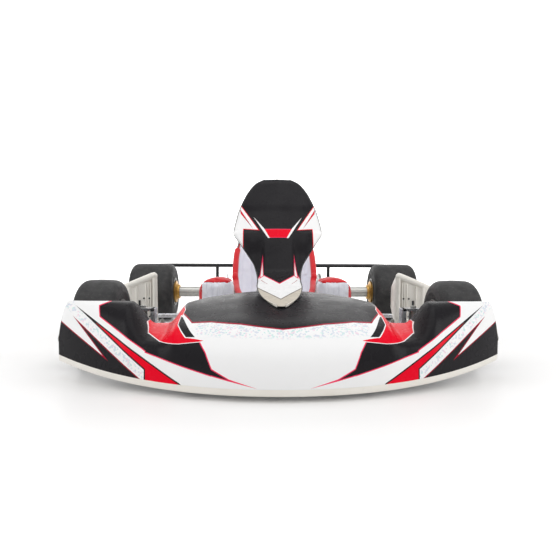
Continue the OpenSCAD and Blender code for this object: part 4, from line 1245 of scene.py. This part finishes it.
# Centre, tyre radius, half width, shoulder, wall, and the rim disc's place, radius and hole
WHEELS = (
    ("front", FRONT_WHEEL, 129, 62, 27, 8, -21.9, BEAD - 7, 28),
    ("rear", (595, *AXLE[1:]), 140, 105, 33, 9, -100.9, BEAD - 2, 36),
)
for end, centre, out, half, shoulder, wall, disc_at, disc_r, disc_hole in WHEELS:
    tyres = mirrored(lambda bm: build_tyre(bm, centre, out, half, shoulder, wall))
    rims = mirrored(lambda bm: build_rim(bm, centre, half, disc_at, disc_r, disc_hole))
    for (label, sign), tyre_bm, rim_bm in zip(SIDES, tyres, rims):
        body = f"{label}_front_wheel" if end == "front" else "axle"
        declare(finish_mesh(f"{end}_slick_{label}", tyre_bm, tyre_rubber, smooth=40), body, "tyre",
                f"{end}_tyre_{label}")
        declare(finish_mesh(f"{end}_wheel_{label}", rim_bm, rim_metal, smooth=35), body, "rim_magnesium",
                f"{end}_rim_{label}")


def rear_hub(bm):
    """Gold hub: a sleeve, a flange with shallow round bosses, and three studs with nuts."""
    profile = [(25.1, 468), (34, 468), (35, 469), (35, 471), (38, 478), (46, 483), (53, 484), (54, 485),
               (54, 493), (53.2, 494), (40, 494), (37, 496), (35, 498), (35, 510.5), (33.5, 512), (25.1, 512)]
    add_turned(bm, profile, AXLE, 96)
    for a in (90, 210, 330):
        q = math.radians(a)
        y, z = AXLE[1] - 45 * math.sin(q), AXLE[2] + 45 * math.cos(q)
        add_tube(bm, [(494, y, z), (507, y, z)], 3.9, sides=16)
        add_hex(bm, (499.4, y, z), (1, 0, 0), 7, 6, bevel=0)
    for k in range(3):
        q = math.radians(30 + 120 * k)
        y, z = AXLE[1] + 46 * math.cos(q), AXLE[2] + 46 * math.sin(q)
        add_hex(bm, (483.6, y, z), (-1, 0, 0), 5, 1.2, sides=20, bevel=0)


declare(finish_mesh("axle_hubs", joined(rear_hub), gold, smooth=35), "axle", "gold_magnesium", "rear_hubs")


def front_hub(bm):
    """Machined hub with a waist, a flange and three studs with nuts."""
    profile = [(12.6, 457), (25.5, 457), (27, 458.5), (27, 470), (25, 472), (25, 482), (27, 484), (27, 500),
               (31, 505), (40, 508), (45, 508), (46, 509), (46, 517), (45, 518), (33, 518), (29, 519.5),
               (27, 521), (27, 529), (25.5, 530), (12.6, 530)]
    add_turned(bm, profile, (0, *FRONT_WHEEL[1:]), 80)
    for a in (90, 210, 330):
        q = math.radians(a)
        y, z = FRONT_WHEEL[1] - 37 * math.sin(q), FRONT_WHEEL[2] + 37 * math.cos(q)
        add_tube(bm, [(518, y, z), (532, y, z)], 3.9, sides=16)
        add_hex(bm, (523.4, y, z), (1, 0, 0), 6.6, 6, bevel=0)


for (label, sign), part in zip(SIDES, mirrored(front_hub)):
    declare(finish_mesh(f"hub_{label}", part, machined, smooth=35), f"{label}_front_wheel",
            "machined_aluminium", f"front_hub_{label}")


# ---------- brake disc and sprocket ----------

def build_disc(bm):
    """Brake ring with three slanting rows of small holes."""
    loops = [circle(94.6, 120), circle(60.4, 96)]
    for k in range(20):
        for row in range(3):
            a = 2 * math.pi * (k + 0.33 * row) / 20
            r = 70 + 9.5 * row
            loops.append(circle(2.3, 16, (r * math.cos(a), r * math.sin(a))))
    add_plate(bm, DISC_X - 5.8, DISC_X + 5.8, loops)


part = bmesh.new()
build_disc(part)
declare(finish_mesh("brake_rotor", part, disc_iron, smooth=30), "axle", "disc_iron", "brake_disc")


def carrier(bm, x, flange, bolts, bolt_r):
    """Turned carrier on the axle with a flange and a ring of bolts through it."""
    add_turned(bm, [(25.1, x - 20), (35, x - 20), (36, x - 19), (36, x - 6), (flange - 1, x - 4),
                    (flange, x - 3), (flange, x + 3), (flange - 1, x + 4), (36, x + 6), (36, x + 19),
                    (35, x + 20), (25.1, x + 20)],
               AXLE, 96)
    for k in range(bolts):
        a = 2 * math.pi * k / bolts
        y, z = AXLE[1] + bolt_r * math.cos(a), AXLE[2] + bolt_r * math.sin(a)
        add_hex(bm, (x + 3.6, y, z), (1, 0, 0), 5, 4, bevel=0)
        add_hex(bm, (x - 3.6, y, z), (-1, 0, 0), 5, 4, bevel=0)


part = bmesh.new()
carrier(part, DISC_X, 62, 6, 52)
declare(finish_mesh("disc_carrier", part, machined, smooth=35), "axle", "machined_aluminium")


def build_sprocket(bm):
    """Toothed ring with six pairs of lightening holes."""
    teeth, pitch = 78, 7.774
    pitch_r = pitch / 2 / math.sin(math.pi / teeth)
    outline = []
    for i in range(teeth):
        for f, r in ((0.0, -2.0), (0.18, -2.0), (0.36, -0.6), (0.48, 1.8), (0.62, 1.8), (0.74, -0.6),
                     (0.9, -2.0)):
            a = 2 * math.pi * (i + f) / teeth
            outline.append(((pitch_r + r) * math.cos(a), (pitch_r + r) * math.sin(a)))
    loops = [outline, circle(50.4, 96)]
    for k in range(6):
        for r, da, size in ((61, 0, 3.2), (75, 0.26, 7.5), (75, -0.26, 7.5)):
            a = 2 * math.pi * k / 6 + math.pi / 2 + da
            loops.append(circle(size, 20, (r * math.cos(a), r * math.sin(a))))
    add_plate(bm, SPROCKET_X - 2.4, SPROCKET_X + 2.4, loops)


part = bmesh.new()
build_sprocket(part)
carrier(part, SPROCKET_X, 53, 0, 45)
declare(finish_mesh("chain_sprocket", part, chain_steel, smooth=30), "axle", "machined_aluminium", "sprocket")


# ---------- steering ----------

FOOT, COLUMN = Vector((0, -420, 80)), Vector((0, 440, 370))
UP, COLUMN_LEN = COLUMN.normalized(), math.hypot(440, 370)
COLUMN_TURN = Vector((0, 0, 1)).rotation_difference(UP).to_matrix().to_4x4()


def place_on_column(bm, at):
    bmesh.ops.transform(bm, matrix=Matrix.Translation(FOOT + UP * at) @ COLUMN_TURN, verts=bm.verts)


def ring_tube(bm, radius, thick, sides=24, segments=120, lobes=0, depth=0.0, start=0.0, end=2 * math.pi):
    """Torus about +Z with optional finger lobes along its underside."""
    rings = []
    whole = end - start > 6.28
    for k in range(segments if whole else segments + 1):
        a = start + (end - start) * k / segments
        r = thick + (depth * math.cos(lobes * a) if lobes else 0.0)
        rings.append([((radius + r * math.cos(2 * math.pi * j / sides)) * math.cos(a),
                       (radius + r * math.cos(2 * math.pi * j / sides)) * math.sin(a),
                       r * math.sin(2 * math.pi * j / sides)) for j in range(sides)])
    if whole:
        rings.append(rings[0])
    add_loft(bm, rings, caps=not whole)


bm = bmesh.new()
ring_tube(bm, 137, 12.6, lobes=36, depth=0.35)
bmesh.ops.remove_doubles(bm, verts=bm.verts, dist=0.01)
for a in (90, 210, 330):
    q = math.radians(a)
    for s in (-1, 1):
        ring_tube(bm, 137, 13.0, segments=6, start=q + s * 0.2 - 0.012, end=q + s * 0.2 + 0.012)
place_on_column(bm, COLUMN_LEN)
declare(finish_mesh("steering_grip", bm, grip, smooth=50), "steering", "wheel_grip", "steering_wheel")

SPOKE = ((24, 19), (40, 15), (60, 12.5), (90, 12), (116, 14.5), (127, 20))
bm = bmesh.new()
for a in (90, 210, 330):
    q = math.radians(a)
    u, v = Vector((math.cos(q), math.sin(q), 0)), Vector((-math.sin(q), math.cos(q), 0))
    outline = [u * r + v * w for r, w in SPOKE] + [u * r - v * w for r, w in reversed(SPOKE)]
    slot_path = [u * r + v * w for r, w in ((56, 5), (104, 6), (108, 0), (104, -6), (56, -5), (52, 0))]
    layers = []
    for z in (-4, 0):
        outer = [bm.verts.new(p + Vector((0, 0, z))) for p in outline]
        inner = [bm.verts.new(p + Vector((0, 0, z))) for p in slot_path]
        rim_edges = [bm.edges.new((p, r)) for loop in (outer, inner)
                     for p, r in zip(loop, loop[1:] + loop[:1])]
        bmesh.ops.triangle_fill(bm, use_beauty=True, use_dissolve=False, edges=rim_edges)
        layers.append((outer, inner))
    for low, high in zip(*layers):
        add_walls(bm, low, high)
add_disc(bm, (0, 0, -2), 32, 4)
add_disc(bm, (0, 0, 1.5), 25, 3, 22)
for k in range(6):
    q = 2 * math.pi * k / 6
    add_hex(bm, (28 * math.cos(q), 28 * math.sin(q), 0), (0, 0, 1), 3.2, 2.4, sides=16, bevel=0)
place_on_column(bm, COLUMN_LEN)
declare(finish_mesh("steering_spokes", bm, casting, smooth=35), "steering", "black_casting")


# ---------- fuel tank ----------

FILLER_Y = -45


def tank_outline(grow, r, z):
    """Rounded rectangle in plan, with corners of radius r."""
    x, y0, y1 = 104 + grow, -250 - grow, grow
    out = []
    corners = (x - r, y1 - r, 0), (r - x, y1 - r, 90), (r - x, y0 + r, 180), (x - r, y0 + r, 270)
    for cx, cy, start in corners:
        for k in range(11):
            a = math.radians(start + 9 * k)
            out.append((cx + r * math.cos(a), cy + r * math.sin(a), z))
    return out


bm = bmesh.new()
rows = add_loft(bm, [tank_outline(g, r, z) for g, r, z in (
    (-10, 12, 41.3), (-4, 16, 42.6), (-1, 19, 46), (0, 20, 52), (0, 20, 74), (-2.6, 18, 78),
    (-2.6, 18, 86), (0, 20, 90), (0, 20, 107), (0.9, 20, 109), (0.9, 20, 111), (0, 20, 113), (0, 20, 132),
    (-2.6, 18, 136), (-2.6, 18, 144), (0, 20, 148), (0, 20, 172), (-1, 19, 178), (-4, 16, 182.4),
    (-10, 12, 184))])
bm.faces.new(rows[0])
bm.faces.new(rows[-1])
add_disc(bm, (0, FILLER_Y, 186), 20, 12)
for x in (-70, -35, 35, 70):
    add_box(bm, (x - 3, -226, 183.2), (x + 3, -90, 186.0), 1.2, 2)
declare(finish_mesh("tank_moulding", bm, tank_plastic, smooth=50), "chassis", "tank_plastic", "fuel_tank")

bm = bmesh.new()
count, grips = 144, 48
rings = []
for z, r, knurl in ((192, 26.0, 0.9), (193, 26.6, 1.0), (203, 26.6, 1.0), (205, 25.2, 0.4), (206, 22.5, 0.0),
                    (204.6, 18, 0.0)):
    ring = []
    for k in range(count):
        a = 2 * math.pi * k / count
        reach = r + 0.55 * knurl * math.cos(grips * a)
        ring.append((reach * math.cos(a), reach * math.sin(a) + FILLER_Y, z))
    rings.append(ring)
add_loft(bm, rings, caps=True)
add_box(bm, (-17, -48, 203.5), (17, -42, 206), 1.0, 2)
declare(finish_mesh("tank_lid", bm, cap_red, smooth=35), "chassis", "cap_red", "fuel_cap")


# ---------- details that ride on carried-over parts ----------

bm = bmesh.new()
for s in (-1, 1):
    for k in range(9):
        t = k / 8
        x = mix(268, 318, ramp(-240, -400, mix(10, -400, t)))
        add_hex(bm, (s * (x - 8), mix(10, -400, t), 39.4), (0, 0, 1), 4.2, 1.6, sides=16, bevel=0)
for k in range(7):
    add_hex(bm, (-168 + 56 * k, -606, 39.4), (0, 0, 1), 4.2, 1.6, sides=16, bevel=0)
declare(finish_mesh("tray_rivets", bm, machined, smooth=30), "chassis", "machined_aluminium")

bm = bmesh.new()
for x, y, z in ((200, 670, 184), (256, 670, 184), (200, 724, 184), (256, 724, 184)):
    add_hex(bm, (x, y, z - 0.4), (0, 0, 1), 5.6, 4.6, bevel=0)
for z in (130, 166):
    for x in (191.8, 264.2):
        add_hex(bm, (x, 699, z), (-1 if x < 228 else 1, 0, 0), 13, 1.8, sides=40, bevel=0)
declare(finish_mesh("caliper_bolts", bm, zinc_steel, smooth=30), "chassis", "zinc_steel")

bm = bmesh.new()
for y in (-266, -238):
    add_hex(bm, (200, y + 12, 113.6), (0, 0, 1), 10.5, 5.5, sides=24, bevel=0)
declare(finish_mesh("reservoir_screws", bm, casting, smooth=30), "chassis", "black_casting")


def pedal_tread(bm, x):
    for k in range(6):
        z = 148 + k * 6.6
        add_box(bm, (x - 30, -608.6, z), (x + 30, -606.6, z + 3.0), 0.7, 1)


for name, x, body in (("brake_tread", 160, "brake_lever"), ("throttle_tread", -160, "throttle_lever")):
    bm = bmesh.new()
    pedal_tread(bm, x)
    declare(finish_mesh(name, bm, casting, smooth=30), body, "black_casting")

# CAD pieces that keep their shape: material, width of the eased edge and the nodes
CARRIED = (
    (zinc_steel, 0.5, "kingpin_bolts", "seat_bolts", "brake_rod"),
    (zinc_steel, 0.6, "axle_bearings", "pedal_pins"),
    (zinc_steel, 0.8, "steering_column"),
    (zinc_steel, 1.0, "spindle_left", "spindle_right", "rear_axle"),
    (frame_steel, 0.6, "heel_rest"), (frame_steel, 0.8, "seat_struts", "steering_support"),
    (machined, 0.6, "tie_rod_left", "tie_rod_right"), (machined, 0.8, "brake_pedal", "throttle_pedal"),
    (machined, 1.2, "wheel_boss"), (casting, 1.2, "master_cylinder"), (casting, 1.5, "fairing_brackets"),
    (casting, 2.2, "brake_caliper"), (tray_aluminium, 0.5, "floor_tray"), (nylon, 0.6, "steering_bush"),
    (pad_lining, 0.8, "brake_pad_inner", "brake_pad_outer"),
)
for material, width, node in ((m, w, node) for m, w, *nodes in CARRIED for node in nodes):
    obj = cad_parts[node]
    obj.data.materials.clear()
    obj.data.materials.append(material)
    edge = obj.modifiers.new("edge", "BEVEL")
    edge.width = width * MM
    edge.segments = 2
    edge.limit_method = "ANGLE"
    edge.angle_limit = math.radians(40)
    edge.harden_normals = True


# ---------- floor, light and camera ----------

def stage_material(name, colour, rough):
    n = Nodes(name)
    reach = n.new("ShaderNodeVectorMath", operation="LENGTH")
    n.link(n.coords, reach.inputs[0])
    n.set(Base_Color=n.mix(n.span(n.noise(2.0, 3.0), 0.4, 0.6), colour, tuple(c * 0.985 for c in colour)),
          Roughness=rough, Specular_IOR_Level=0.1, Emission_Color=(1, 1, 1),
          Emission_Strength=n.span(reach.outputs["Value"], 0.9, 2.4, 0.04, 0.55))
    return n.material


def sweep():
    """Seamless pale floor that curves up into a wall far behind."""
    profile = [(-9.0, 0.0), (6.0, 0.0)]
    for k in range(1, 17):
        a = math.pi / 2 * k / 16
        profile.append((6.0 + 2.5 * math.sin(a), 2.5 * (1 - math.cos(a))))
    profile.append((8.5, 9.0))
    bm = bmesh.new()
    rows = [[bm.verts.new((x, y, z - 0.0005)) for y, z in profile] for x in (-12.0, 12.0)]
    for a, b, c, d in zip(rows[0], rows[0][1:], rows[1][1:], rows[1]):
        bm.faces.new((a, b, c, d))
    mesh = bpy.data.meshes.new("floor")
    bm.to_mesh(mesh)
    bm.free()
    mesh.shade_smooth()
    mesh.materials.append(stage_material("floor", (0.86, 0.855, 0.85), 0.4))
    obj = bpy.data.objects.new("floor", mesh)
    bpy.context.scene.collection.objects.link(obj)
    obj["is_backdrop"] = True


sweep()


def area_light(name, place, target, size, power, colour=(1, 1, 1)):
    data = bpy.data.lights.new(name, "AREA")
    data.shape = "RECTANGLE"
    data.size, data.size_y = size
    data.energy = power
    data.color = colour
    obj = bpy.data.objects.new(name, data)
    obj.location = place
    obj.rotation_euler = (Vector(target) - Vector(place)).to_track_quat("-Z", "Y").to_euler()
    bpy.context.scene.collection.objects.link(obj)


area_light("overhead", (0.0, -0.4, 3.6), (0, 0, 0), (4.2, 3.4), 66)
area_light("front_soft", (0.4, -4.6, 2.2), (0, -0.4, 0.2), (3.6, 1.8), 26)
area_light("side_left", (-3.6, -1.4, 1.6), (0, 0, 0.2), (1.4, 2.6), 34)
area_light("side_right", (3.6, -1.4, 1.6), (0, 0, 0.2), (1.4, 2.6), 40)
area_light("back_wall", (0.0, 4.0, 3.0), (0, 8.0, 2.0), (6.0, 2.0), 260)

world = bpy.data.worlds.new("studio")
world.use_nodes = True
world.node_tree.nodes["Background"].inputs[0].default_value = (1.0, 1.0, 1.0, 1.0)
world.node_tree.nodes["Background"].inputs[1].default_value = 0.42
bpy.context.scene.world = world
bpy.context.scene.view_settings.view_transform = "Standard"

EYE, LENS = (-0.044, -2.095, 0.351), 34.78
yaw, pitch, roll = math.radians(1.6), math.radians(3.2), math.radians(0.25)
ahead = Vector((math.sin(yaw) * math.cos(pitch), math.cos(yaw) * math.cos(pitch), -math.sin(pitch)))
right = Vector((math.cos(yaw), -math.sin(yaw), 0.0))
above = right.cross(ahead)
right, above = (right * math.cos(roll) + above * math.sin(roll),
                above * math.cos(roll) - right * math.sin(roll))
camera_data = bpy.data.cameras.new("camera")
camera_data.lens = LENS
camera_data.sensor_width = 36.0
camera_data.clip_start = 0.02
camera = bpy.data.objects.new("camera", camera_data)
camera.matrix_world = Matrix((
    (right.x, above.x, -ahead.x, EYE[0]),
    (right.y, above.y, -ahead.y, EYE[1]),
    (right.z, above.z, -ahead.z, EYE[2]),
    (0, 0, 0, 1)))
bpy.context.scene.collection.objects.link(camera)
bpy.context.scene.camera = camera


def plain(value):
    return json.loads(json.dumps(value, default=lambda v: [float(i) for i in v]))


{"cad": plain(cad_size), "looks": plain(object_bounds())}
